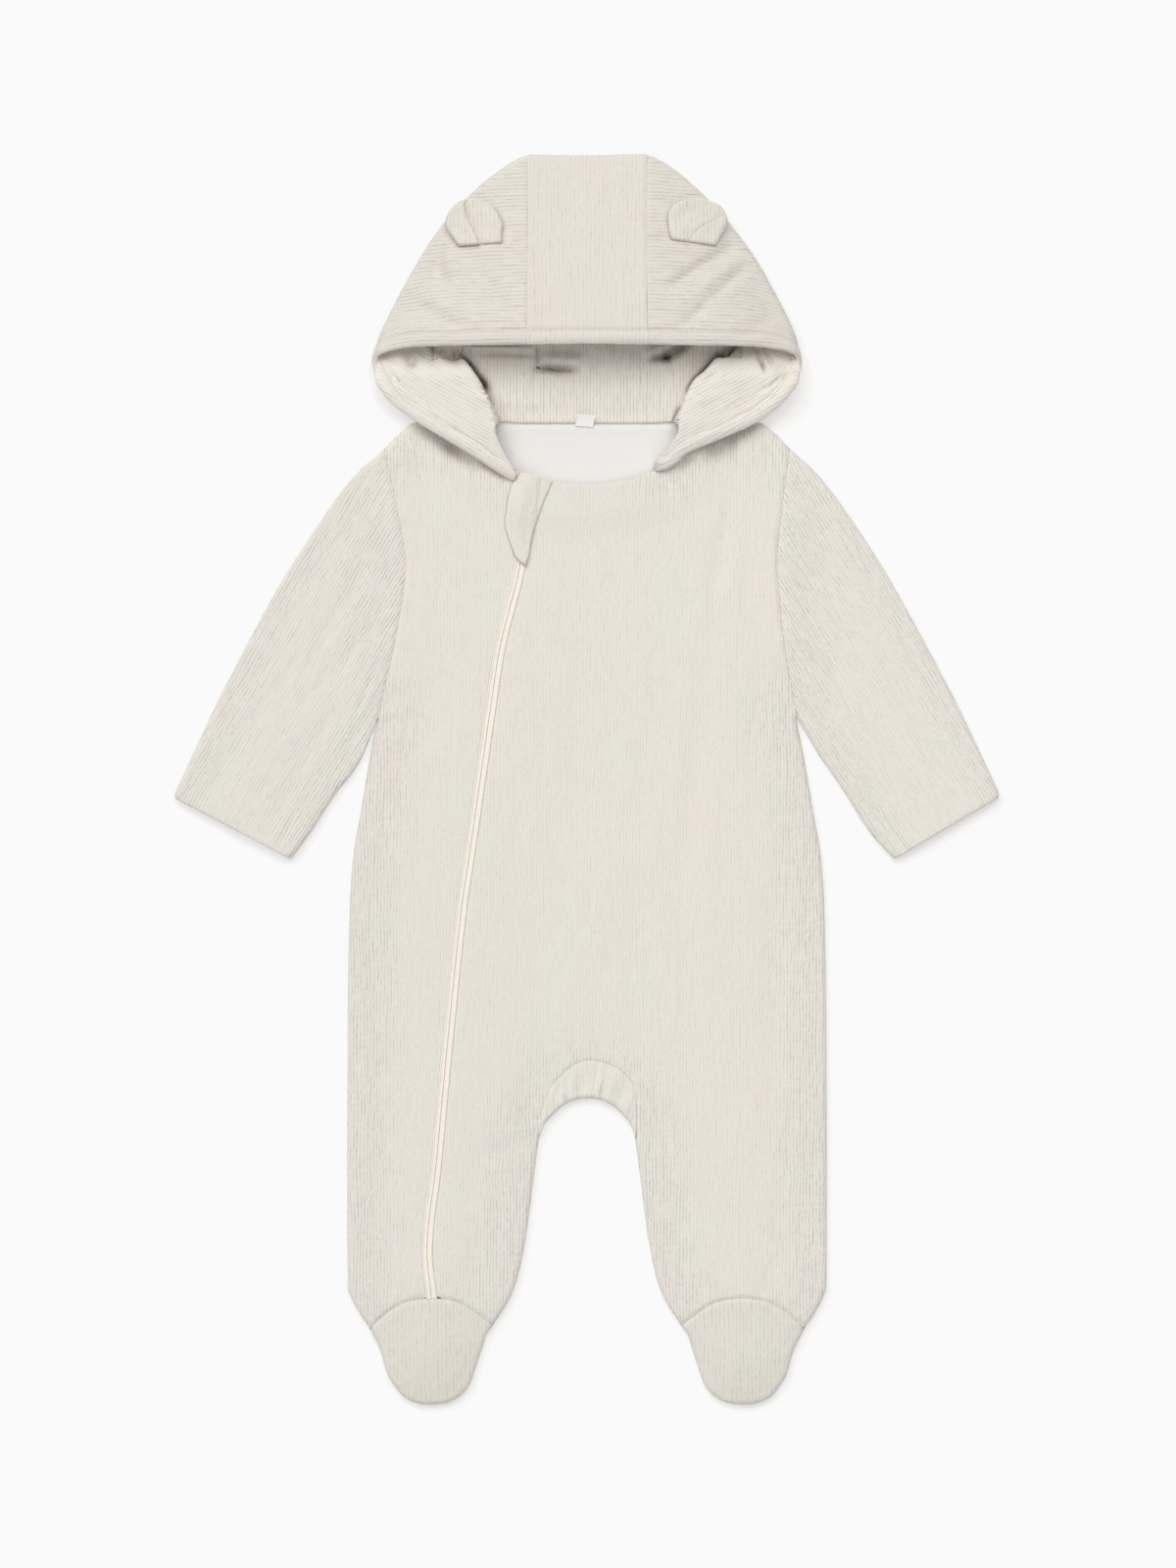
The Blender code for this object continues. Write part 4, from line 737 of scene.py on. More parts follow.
def back_low(points):
    from_edge = distance_to(points, SILHOUETTE)
    relief = np.maximum(crinkle(*points.T, 7) - 0.05, 0)
    return relief + (WALL - EDGE_LIP - relief) * (1 - quarter(from_edge, EDGE_ROUND))


def back_high(points):
    return np.full(len(points), WALL)


def joined_path(*paths):
    path = np.concatenate(paths)
    gap = np.linalg.norm(path - np.roll(path, 1, axis=0), axis=1)
    return path[gap > 0.5]


def armhole(side):
    inward = SHOWN_GAP if side == "left" else -SHOWN_GAP
    return (CURVES["armhole", side] + (inward, 0))[::-1]


def foot_edge(side, part=slice(None)):
    return CURVES["foot_seam", side][part] + (0, SHOWN_GAP)


def torso():
    """Back, the two fronts and the white neck lining."""
    gusset_edge = shifted(CURVES["gusset"], SHOWN_GAP)
    zip_left = shifted(CURVES["zip"], -(ZIP_TAPE + 0.2))
    zip_right = shifted(CURVES["zip"], ZIP_TAPE + 0.2)
    left_seam = CURVES["foot_seam", "left"]
    outer_part = left_seam[left_seam[:, 0] < zip_left[-1, 0] - 0.8] + (0, SHOWN_GAP)
    inner_part = left_seam[left_seam[:, 0] > zip_right[-1, 0] + 0.8] + (0, SHOWN_GAP)
    nape = np.array([(x, NAPE) for x in np.linspace(58, -58, 48)])
    back = joined_path(nape, CURVES["shoulder", "left"][::-1], armhole("left")[::-1], CURVES["side", "left"],
                       foot_edge("left"), CURVES["leg", "left"][::-1], gusset_edge, CURVES["leg", "right"],
                       foot_edge("right")[::-1], CURVES["side", "right"][::-1], armhole("right"),
                       CURVES["shoulder", "right"])
    panel("back_panel", back, back_high, back_low, COARSE_STEP, 3.4, (), EDGE_ROWS)
    side = joined_path(NECK_EDGE[0], zip_left, outer_part[::-1], CURVES["side", "left"][::-1],
                       armhole("left"), CURVES["shoulder", "left"])
    panel("front_side", side, front_high, front_low, strength=crinkled)
    main = joined_path(zip_right[::-1], NECK_EDGE[1], CURVES["shoulder", "right"][::-1],
                       armhole("right")[::-1], CURVES["side", "right"], foot_edge("right"),
                       CURVES["leg", "right"][::-1], gusset_edge[::-1], CURVES["leg", "left"],
                       inner_part[::-1])
    panel("front_main", main, front_high, front_low, strength=crinkled)
    lining = np.vstack([NECK_LINING, NECK_LINING[:1]])
    low = WALL + SEAM_GAP

    def lining_top(points):
        swell = 0.25 * noise(points[:, 0] / 26, points[:, 1] / 14, 41)
        return low + 1.0 + np.maximum(swell, -0.2) + 0.5 * bell(points[:, 1] - 199.5, 1.6)

    panel("neck_lining", by_length(lining, step=OUTLINE_STEP)[:-1], lining_top,
          lambda p: np.full(len(p), low), top_rows=(0.5,))


def gusset():
    """One piece folded round the crotch's edge, with uneven gathers."""
    seam, edge = CURVES["gusset"], CURVES["crotch"]
    turns = np.radians(np.linspace(-90, 90, 13))
    tops, unders = np.linspace(1, 0, 16)[1:], np.linspace(0, 1, 8)[:-1]
    low_gap, high_gap = WALL, WALL + SEAM_GAP + 0.1
    outer, inner = [], []
    for k, (start, end, high) in enumerate(zip(seam, edge, front_low(seam) + WALL)):
        reach = np.linalg.norm(end - start)
        out = (end - start) / reach
        place = k / (len(seam) - 1)
        ripple = sum(tall * math.exp(-((place - at) / wide) ** 2) for at, wide, tall in GATHERS)
        ripple *= min(1.0, 6 * place, 6 * (1 - place))
        half = high / 2
        bend = min(half, 0.6 * reach)
        flat = reach - bend
        narrowed = 1 if reach > 4 else 0.9
        run = [(t * flat, 0.0) for t in unders]
        for a in turns:
            swell = ripple * 0.8 * math.cos(a / 2 - math.pi / 4) ** 2
            if a > 0:
                wide = (bend + 0.5 * swell) * math.cos(a) ** 0.6 * narrowed
                run.append((flat + wide, half + (half + swell) * math.sin(a)))
            else:
                run.append((flat + bend * math.cos(a), half + half * math.sin(a)))
        for t in tops:
            waves = ripple * (0.25 + 0.75 * t) + 0.15 * math.sin(9 * place * math.pi + 5 * t)
            run.append((t * flat, high + waves - 0.35 * math.exp(-(t * flat / 1.3) ** 2)))
        far = max(reach - WALL * 0.9, 0.45 * reach)
        middle, rise = (low_gap + high_gap) / 2, (high_gap - low_gap) / 2
        within = [(t * far, low_gap) for t in unders]
        within += [(far + 0.15 * math.cos(a), middle + rise * math.sin(a)) for a in turns]
        within += [(t * far, high_gap + (1 - t) * (high - WALL - high_gap)) for t in tops]
        outer.append([(*(start + out * r), z) for r, z in run])
        inner.append([(*(start + out * r), z) for r, z in within])
    outer = np.array(outer)
    wall("crotch_gusset", outer, np.array(inner), outer[..., :2])


def feet():
    """Two flat soles and two domed uppers, joined along the toe's edge."""
    tall, radius = FOOT_PUFF
    for side, sign in SIDES:
        toe = CURVES["toe", side]
        outline = joined_path(CURVES["foot_seam", side], toe)
        middle = np.array(FOOT_MIDDLE) * (sign, 1)

        def upper_low(points, middle=middle):
            puff = tall * np.exp(-(np.linalg.norm(points - middle, axis=1) / radius) ** 2)
            return front_low(points) + puff * ease(distance_to(points, SILHOUETTE), 0, 10)

        def upper_high(points, low=upper_low, toe=toe, sign=sign):
            from_toe = distance_to(points, [toe])
            full = low(points) + WALL + 0.8 * crinkle(*points.T) + seam_relief(points)
            full += 0.25 * bell(from_toe, 7) * noise(nearest(points, toe)[1] / 4, from_toe / 6, 51 + sign)
            edge = WALL + SHOWN_GAP / 2 + EDGE_LIP
            return edge + (full - edge) * quarter(from_toe, EDGE_ROUND)

        panel("foot_upper_" + side, outline, upper_high, upper_low, 1.9)
        panel("foot_sole_" + side, outline, back_high, back_low, COARSE_STEP, 3.0, (), EDGE_ROWS)


def sleeve(side, sign):
    """A flattened tube, open at the cuff and at the armhole, where its end follows the seam's curve."""
    rows = np.array(SLEEVES[side])
    dense = spline(rows, np.linspace(0, len(rows) - 1, 400))
    length = run_lengths((dense[:, :2] + dense[:, 2:]) / 2)
    total = length[-1]
    steps = np.concatenate([[0, 0.4, 0.9, 1.6], np.linspace(3, total - 3.4, 74),
                            total - np.array([2.0, 1.2, 0.6, 0.25, 0])])
    stations = np.stack([np.interp(steps, length, dense[:, k]) for k in range(4)], axis=1)
    params = np.interp(steps, length, np.linspace(0, 1, 400))
    hole = CURVES["armhole", side]
    edge_marks = np.array([0, 0.004, 0.011, 0.022, 0.038, 0.06])
    marks = np.concatenate([edge_marks, np.linspace(0.085, 0.915, 62), 1 - edge_marks[::-1]])
    under = np.concatenate([[0.99, 0.975, 0.95], np.linspace(0.9, 0.1, 14), [0.05, 0.025, 0.01]])
    axis = (stations[-1, :2] + stations[-1, 2:]) / 2 - (stations[0, :2] + stations[0, 2:]) / 2
    axis = axis * (sign, 1) / np.linalg.norm(axis)
    outer, inner = [], []
    for k, (ox, oy, ix, iy) in enumerate(stations):
        along = params[k]
        start, end = np.array((sign * ox, oy)), np.array((sign * ix, iy))
        out = (end - start) / np.linalg.norm(end - start)
        pulled = CUFF_CORNER * (1 - quarter(total - steps[k], CUFF_CORNER))
        start, end = start + out * pulled, end - out * pulled
        reach = np.linalg.norm(end - start)

        def line_at(at, along=along, start=start, end=end):
            lengths = np.linspace(0, 1, len(hole))
            bulge = np.stack([np.interp(at, lengths, hole[:, d]) for d in (0, 1)], axis=1)
            bulge -= hole[0] + at[:, None] * (hole[-1] - hole[0])
            return start + at[:, None] * (end - start) + (1 - along) ** 4 * bulge

        line = line_at(marks)
        drop = np.zeros(len(marks))
        for a0, a1, s0, s1, half_width, deep in SLEEVE_FOLDS[side]:
            t = (along - a0) / (a1 - a0)
            fade = ease(t, -0.15, 0.3) * (1 - ease(t, 0.7, 1.15))
            drop += deep * fade * bell((marks - s0 - (s1 - s0) * t) * reach, half_width)
        lift = PUFF * np.clip(4 * marks * (1 - marks), 0, 1) + 0.6 * ease(along, 0.85, 1)
        own = ease(along, 0, 0.2)
        joined = air_between(line, distance_to(line, SILHOUETTE)) if own < 1 else 0
        air = (1 - own) * joined + own * np.maximum(lift - drop, -0.3)
        edge_in = np.minimum(marks, 1 - marks) * reach
        across, down = line @ np.array((-axis[1], axis[0])), line @ axis
        relief = crinkle(across, down, 30 + sign)
        relief += seam_relief(line, SEAMS[:2]) * (1 - ease(along, 0.06, 0.12))
        relief += 0.3 * bell(edge_in, 7) * noise(down / 5.0, edge_in / 6, 33 + sign) * own
        high = 2 * WALL + SEAM_GAP + np.maximum(air, 0.1)
        cuff = quarter(total - steps[k], 1.6)
        bow = quarter(edge_in, EDGE_ROUND)
        middle = WALL + SEAM_GAP / 2
        top = middle + (high + relief - middle) * bow - 1.3 * (1 - cuff) * bow
        low_line = line_at(under)
        low_in = np.minimum(under, 1 - under) * reach
        low = middle * (1 - quarter(low_in, EDGE_ROUND)) + 1.0 * (1 - cuff)
        inset = WALL * 0.95

        def moved_in(line, marks, reach=reach, out=out):
            """The plan of the inside, kept clear of the two edges."""
            return line + (np.clip(marks * reach, inset, reach - inset) - marks * reach)[:, None] * out

        inner_top = np.maximum(high - WALL + 1.0 * (1 - cuff), middle)
        inner_top[[0, -1]] = middle
        outer.append(np.concatenate([np.column_stack([line, top]), np.column_stack([low_line, low])]))
        inner.append(np.concatenate([
            np.column_stack([moved_in(line, marks), inner_top]),
            np.column_stack([moved_in(low_line, under), np.full(len(under), WALL - 0.3)])]))
    outer = np.array(outer)
    far = np.concatenate([marks, under])
    far = np.minimum(far, 1 - far)[None]
    strength = 0.25 + 0.75 * np.maximum(1 - ease(far, 0.04, 0.3), 1 - ease(params, 0.1, 0.45)[:, None])
    grain = np.stack([outer[..., 0] * -axis[1] + outer[..., 1] * axis[0],
                      outer[..., 0] * axis[0] + outer[..., 1] * axis[1], strength], axis=-1)
    wall("sleeve_" + side, outer, np.array(inner), grain, ring=True)


def closure():
    """The zip's two ridged strips, and the guard over the slider."""
    line = by_length(CURVES["zip"], step=1.6)
    line = np.vstack([line, line[-1] + 0.7 * (line[-1] - line[-2])])
    offsets, heights = np.array(ZIP_PROFILE).T
    lengths = run_lengths(line)
    for side, turn in SIDES:
        rows = np.stack([shifted(line, turn * offset) for offset in offsets], axis=1)
        flat = rows.reshape(-1, 2)
        rest = (front_low(flat) + WALL - 0.35 + 0.4 * crinkle(*flat.T)).reshape(rows.shape[:2])
        wobble = 0.04 * noise(lengths / 9.0, np.full(len(lengths), turn), 60)[:, None] * (offsets > 1.6)
        top = rest + heights + wobble
        grain = np.stack(np.broadcast_arrays(lengths[:, None], offsets[None] * turn), axis=-1)
        wall("zip_tape_" + side, np.dstack([rows, top]),
             np.dstack([rows, np.minimum(top, rest) - ZIP_STRIP]), grain)
    left, right = smooth(GUARD_LEFT + [GUARD_TIP], 46), smooth(GUARD_RIGHT + [GUARD_TIP], 46)
    spread = np.concatenate([[0, 0.012, 0.035, 0.07, 0.12], np.linspace(0.17, 0.83, 17),
                             [0.88, 0.93, 0.965, 0.988, 1]])
    plan = left[:, None] * (1 - spread[:, None]) + right[:, None] * spread[:, None]
    plan[-1] = GUARD_TIP + (spread[:, None] - 0.5) * np.array((3.0, -0.6))
    flat = plan.reshape(-1, 2)
    rest = front_low(flat) + WALL + 0.5 * crinkle(*flat.T)
    near_zip = 0.8 * (1 - ease(distance_to(flat, [CURVES["zip"]]), 4.0, 6.0))
    from_slider = np.linalg.norm((flat - SLIDER_AT) * (1.0, 0.6), axis=1)
    over = (SLIDER_THICK + SEAM_GAP) * (1 - ease(from_slider, 5.5, 17)).reshape(plan.shape[:2])
    over = over * (1 - ease(spread, 0.25, 1.0)) * ease(spread, 0.0, 0.2)
    low = (rest + near_zip).reshape(plan.shape[:2]) + over + 0.2
    wide = np.linalg.norm(right - left, axis=1)[:, None]
    from_tip = (run_lengths(left)[-1] - run_lengths(left))[:, None]
    inset = np.minimum(np.minimum(spread, 1 - spread)[None] * wide, from_tip)
    body = GUARD_PLY * (0.3 + 0.7 * quarter(inset, 1.1)) + 0.3 * np.sin(math.pi * spread)[None, :]
    body += 0.18 * noise(plan[..., 0] / 4, plan[..., 1] / 14, 63) * quarter(inset, 3)
    # Painted shade: thin lines along the guard's edges where it meets the front
    painted_dark = bell(inset, 0.34) * (0.5 - 0.3 * ease(spread, 0.4, 0.6))
    wall("zip_guard", np.dstack([plan, low + 0.15 + body]), np.dstack([plan, low]),
         np.dstack([plan, np.zeros(painted_dark.shape), painted_dark]))


# ---- hood -------------------------------------------------------------------------------------

CREST_LINES = {side: smooth(points, step=2.5) for side, points in CREST.items()}


def cheek(plan, neck_height, side):
    """Extra height of the hood's lower cloth, and how far it leans over the hollow, at each plan point.

    A steep wall with a hanging edge, then a slope down to the cheek's rim.
    """
    line = CREST_LINES[side]
    away, at = nearest(plan, line)
    sink = 1 - ease(plan[:, 1], *CHEEK_FADE)
    lean = CREST_LEAN * ease(plan[:, 1], *LEAN_FROM) * sink
    rise = ease(away, lean - CREST_STEEP, lean)
    slope = CREST_HEIGHT + (CHEEK_HEIGHT - CREST_HEIGHT) * ease(away, 0, 34)
    narrow = ease(plan[:, 1], *CHEEK_NARROW)
    target = slope * narrow + (1 - narrow) * CHEEK_END
    right_of = -left_of(unit(np.gradient(line, axis=0)))
    inward = np.stack([np.interp(at, run_lengths(line), values) for values in right_of.T], axis=1)
    lean = lean * rise * (1 - ease(away, lean, lean + CREST_SOFT))
    return rise * sink * np.maximum(target - neck_height, 0), lean[:, None] * inward


def meridian(row, side):
    """Dense points of one hood meridian from the rim over the fold to the neck, and the fold's two ends."""
    rx, ry, rz, fx, fy, fz, turn, nx, ny, nz = row
    rim, fold, neck = np.array((rx, ry, rz)), np.array((fx, fy)), np.array((nx, ny, nz))
    out = fold - neck[:2]
    out /= np.linalg.norm(out)
    turn = math.radians(max(turn, 0))
    start = fold - (FOLD_RADIUS + HOOD_HALF) * out * math.sin(min(turn, math.pi / 2))
    t = np.linspace(0, 1, 150)[:, None]
    plan = neck[:2] + (start - neck[:2]) * t
    base = neck[2] + (fz - neck[2]) * ease(t[:, 0], 0.55, 1.0)
    climbed = ease(np.linalg.norm(plan - neck[:2], axis=1), 0.0, NECK_CLIMB)
    floor = CHEEK_REST * climbed * ease(nz, 5.0, 6.6)
    rise, lean = cheek(plan, base, side)
    lifted = np.maximum(base + rise, floor)
    settle = ease(t[:, 0], 0.8, 1.0)
    lifted = lifted * (1 - settle) + np.maximum(fz, base) * settle
    low = np.column_stack([plan + lean * (1 - settle)[:, None], lifted])
    angles = np.linspace(0, turn, 24)[1:]
    arc = np.column_stack([start + FOLD_RADIUS * np.sin(angles)[:, None] * out,
                           lifted[-1] + FOLD_RADIUS * (1 - np.cos(angles))])
    path = np.concatenate([low, arc]) if turn > 0.02 else low
    arc_end = path[-1]
    rim = arc_end + (rim - arc_end) * ease(turn, *TOP_TURN)
    gap = rim - arc_end
    reach = np.linalg.norm(gap)
    if reach > 0.01:
        heading = np.array((*(out * math.cos(turn)), math.sin(turn)))
        t = np.linspace(0, 1, 60)[1:, None]
        first = arc_end + heading * reach / 3
        second = rim - gap / 3 * (1, 1, 0.6)
        top = (1 - t) ** 3 * arc_end + 3 * (1 - t) ** 2 * t * first
        top = top + 3 * (1 - t) * t ** 2 * second + t ** 3 * rim
        path = np.concatenate([path, top])
    total = run_lengths(path)[-1]
    low_length = run_lengths(low)[-1]
    return path[::-1], total - low_length - FOLD_RADIUS * turn, total - low_length, turn


def all_rows(side):
    return HOOD_ROWS + [(x, y, z, x, y, z, 0, nx, ny, CHEEK_NECK) for x, y, z, nx, ny in CHEEK_ROWS[side]]


def hood_half(rows_at, side):
    """Middle surface of half of the hood, a row for each meridian, and its points' lengths from the rim."""
    table = spline(all_rows(side), rows_at)
    table[:, 6] = np.clip(table[:, 6], 0, 166)
    table[:, 4] = np.minimum(table[:, 4], CROWN)
    along = unit(np.gradient(table[:, :3], axis=0))
    grid, lengths = [], []
    for row, tangent in zip(table, along):
        path, first, second, turn = meridian(row, side)
        total = run_lengths(path)[-1]
        away = read_at(path, [HEM_STITCH])[0] - path[0]
        slant = np.linalg.norm(np.cross(tangent, away / np.linalg.norm(away)))
        scale = min(1 / max(slant, 0.35), RIM_SHARE * total / RIM_MARKS[-1])
        rim_end = RIM_MARKS[-1] * scale
        unfolded = (total - rim_end) * (1 - ease(turn, 0.3, 1.2))
        first = max(first, rim_end + min(0.5, 0.05 * total) + 0.30 * unfolded)
        second = max(second, first + min(0.3, 0.03 * total) + 0.08 * unfolded)
        neck_at = total - min(NECK_CLIMB, 0.3 * (total - second))
        marks = np.concatenate([RIM_MARKS * scale, np.linspace(rim_end, first, TOP_STEPS + 1)[1:],
                                np.linspace(first, second, FOLD_STEPS + 1)[1:],
                                np.linspace(second, neck_at, LOW_STEPS + 1)[1:],
                                np.linspace(neck_at, total, CLIMB_STEPS + 1)[1:]])
        grid.append(read_at(path, marks))
        lengths.append(marks)
    grid = np.array(grid)
    grid[..., 0] *= side
    return grid, np.array(lengths)


def unit_normals(grid):
    normal = np.cross(np.gradient(grid, axis=0), np.gradient(grid, axis=1))
    return normal / np.maximum(np.linalg.norm(normal, axis=2)[..., None], 1e-9)


def hood_rows():
    """Rows of one half: even along the rim, and closer beside the centre strip's seam."""
    fine = np.linspace(0, len(all_rows(1)) - 1, 900)
    table = spline(all_rows(1), fine)
    outer = np.where(table[:, 6:7] > 60, table[:, 3:5], table[:, 0:2])
    length = (run_lengths(table[:, :3]) + run_lengths(outer)) / 2
    seam = np.interp(HOOD_SEAM_ROW, fine, length)
    clear = SEAM_ROWS[-1] + 0.5 * ROW_STEP
    marks = np.linspace(0, length[-1], int(length[-1] / ROW_STEP))
    marks = marks[np.abs(marks - seam) > clear]
    beside = np.concatenate([seam - np.array(SEAM_ROWS), [seam], seam + np.array(SEAM_ROWS)])
    marks = np.sort(np.concatenate([marks, beside]))
    return np.interp(marks, length, fine), marks - seam, int(np.argmin(np.abs(marks - seam)))


def hood():
    """Shell and lining over one middle surface, cut into the centre strip and the two side panels."""
    rows_at, from_seam, seam_index = hood_rows()
    right, lengths = hood_half(rows_at, 1)
    left, left_lengths = hood_half(rows_at, -1)
    middle = np.concatenate([left[:0:-1], right])
    lengths = np.concatenate([left_lengths[:0:-1], lengths])
    from_seam = np.concatenate([from_seam[:0:-1], from_seam])[:, None]
    half = len(rows_at)
    settled = ease(np.concatenate([rows_at[:0:-1], rows_at]), 3.0, 5.0)[:, None]
    for _ in range(10):
        pull = np.zeros(middle.shape)
        pull[1:-1, 1:-1] = (middle[:-2, 1:-1] + middle[2:, 1:-1] + middle[1:-1, :-2] + middle[1:-1, 2:]
                            - 4 * middle[1:-1, 1:-1]) / 4
        normal = unit_normals(middle)
        middle = middle + normal * (0.5 * settled * (pull * normal).sum(axis=2))[..., None]
    normal = unit_normals(middle)
    plan = middle[..., :2].reshape(-1, 2)
    height, back = middle[..., 2], middle[..., 1]

    def marked(table):
        return troughs(plan, table).reshape(height.shape)

    # How far each point is in the hood's upper part, its lower part, the lining that shows and the hollow
    on_top = ease(height, 7, 11) * ease(back, 236, 246)
    on_low = (1 - ease(height, 10, 16)) * ease(back, 204, 210)
    on_lining = (1 - ease(height, 17, 22)) * ease(back, 204, 210)
    deep = (1 - ease(height, 8, 12)) * ease(back, 200, 206)
    drop = troughs(plan, HOOD_FOLDS)
    for dart in DARTS:
        line = smooth(dart)
        away, at = nearest(plan, line)
        away = np.where(line[0, 0] < 0, away, -away)
        drop += 1.3 * bell(away, 0.8) - 0.3 * bell(away, 4) * noise(at / 3, np.zeros(len(at)), 79)
    drop = drop.reshape(height.shape) * on_top
    ridge = marked(LINING_FOLDS) * on_lining + marked(HOLLOW_FOLDS) * deep
    ridge = ridge * ease(-normal[..., 2], 0.0, 0.4)
    # Painted shade in the lining's creases, pockets and under its lobes' edges
    painted_dark = marked(HOLLOW_PAINTED_SHADE) * deep + marked(LOBE_PAINTED_SHADE) * (1 - deep) * on_lining
    slow = 0.5 * noise(middle[..., 0] / 34, lengths / 40, 71) * np.clip(lengths / 20, 0, 1)
    slow *= np.clip((lengths[:, -1:] - lengths) / 25, 0, 1)
    lift = -drop + ridge + slow * (on_top + on_low)
    middle = middle + normal * lift[..., None]
    rim = by_length(middle[:, 0], step=0.5)
    depth = lengths.copy()
    for k in range(NEAR_RIM):
        depth[:, k] = np.linalg.norm(middle[:, k, None] - rim[None], axis=2).min(axis=1)
    depth[:, NEAR_RIM:] = np.maximum(depth[:, NEAR_RIM:], 14)
    rim_run = run_lengths(middle[:, 0])[:, None]
    from_end = np.minimum(rim_run, rim_run[-1] - rim_run)
    edge = quarter(depth, RIM_ROUND) * (0.12 + 0.88 * quarter(from_end, END_TAPER))
    hem = sum(tall * bell(depth - at, wide) for at, wide, tall in HEM_SHAPE)
    hem = hem + 0.18 * bell(depth - HEM_STITCH, 4.0) * noise(rim_run / 3.3, depth / 5, 73)
    beyond_hem = ease(depth, HEM_STITCH - 1, HEM_STITCH + 1)
    seam_dip = 0.55 * bell(from_seam, 0.9) * beyond_hem
    seam_pucker = 0.22 * bell(from_seam, 5.0) * noise(lengths / 3.4, from_seam / 6, 75) * beyond_hem
    neck_round = quarter(lengths[:, -1:] - lengths, 1.4)
    shell_relief = crinkle(lengths, middle[..., 0] * 1.1, 81)
    centre = (np.abs(from_seam) < -from_seam[half - 1, 0] + 1e-6) & (from_seam < 0)
    shell_relief = np.where(centre, crinkle(middle[..., 0], lengths, 82), shell_relief)
    lining_relief = crinkle(middle[..., 0], lengths, 83)
    away = np.minimum(ease(depth, 0, 3), ease(lengths[:, -1:] - lengths, 0, 8))
    thick = HOOD_HALF * edge * (0.45 + 0.55 * neck_round)
    shell = thick + hem * edge - seam_dip + seam_pucker + shell_relief * away
    corner = ease(np.abs(middle[..., 0]), 110, 117) * ease(middle[..., 1], 236, 243)
    shell += 0.6 * corner * bell(depth - HEM_STITCH, 1.2)
    thick = thick * (1 - 0.7 * corner)
    lining = thick + 0.85 * (1 - corner) * hem * edge - seam_dip + seam_pucker
    lining = lining + lining_relief * away * (1 - corner)
    near = SHOWN_GAP / 2
    sides = {
        "": (middle + normal * np.maximum(shell, near + 0.12)[..., None], middle + normal * near),
        "lining_": (middle - normal * np.maximum(lining, near + 0.12)[..., None], middle - normal * near),
    }
    for outer, inner in sides.values():
        outer[..., 2] = np.maximum(outer[..., 2], 0)
        inner[..., 2] = np.maximum(inner[..., 2], 0.05)
    first, last = half - 1 - seam_index, half - 1 + seam_index
    cuts = {"left": slice(0, first + 1), "centre": slice(first, last + 1), "right": slice(last, None)}
    for layer_name, (outer, inner) in sides.items():
        for part, cut in cuts.items():
            node = "hood_" + layer_name + part if layer_name or part == "centre" else "hood_side_" + part
            faces = [outer[cut].copy(), inner[cut].copy()]
            for row, nearer in ((0, 1), (-1, -2)):
                if (part, row) in (("left", 0), ("right", -1)):
                    continue
                for grid in faces:
                    grid[row] += 0.5 * (grid[nearer] - grid[row])
            x, run = middle[cut][..., 0], lengths[cut]
            grain = np.stack([run, x] if not layer_name and part != "centre" else [x, run], axis=-1)
            if layer_name and part != "centre":
                along = np.array((-0.87, 0.49) if part == "left" else (0.87, 0.49))
                flat = middle[cut][..., :2]
                low = (deep[cut] > 0.5) & (np.abs(flat[..., 0]) < HOLLOW_HALF)
                grain = np.stack([np.where(low, flat[..., 0], flat @ (-along[1], along[0])),
                                  np.where(low, flat[..., 1], flat @ along),
                                  np.where(low, 0.2, -0.1), painted_dark[cut]], axis=-1)
            elif layer_name:
                grain = np.stack([x, run, np.full(x.shape, 0.2), painted_dark[cut]], axis=-1)
            wall(node, faces[0], faces[1], grain)
    shell, lining = sides[""][0], sides["lining_"][0]
    off = 0.1 * normal[:, STITCH_COLUMN]
    threads = [stitches("rim_stitches_outside", shell[:, STITCH_COLUMN] + off),
               stitches("rim_stitches_inside", lining[:, STITCH_COLUMN] - off)]
    return shell, threads


def hood_top(points, outside, sign):
    """Height of the hood's outside under each plan point, from its nearest surface points."""
    keep = (outside[..., 2] > 8) & (outside[..., 0] * sign > 20) & (outside[..., 1] > 285)
    known = outside[keep]
    away = np.linalg.norm(points[:, None] - known[None, :, :2], axis=2)
    chosen = np.argsort(away, axis=1)[:, :10]
    weight = 1 / (np.take_along_axis(away, chosen, axis=1) + 0.8) ** 2
    return (known[chosen, 2] * weight).sum(axis=1) / weight.sum(axis=1)


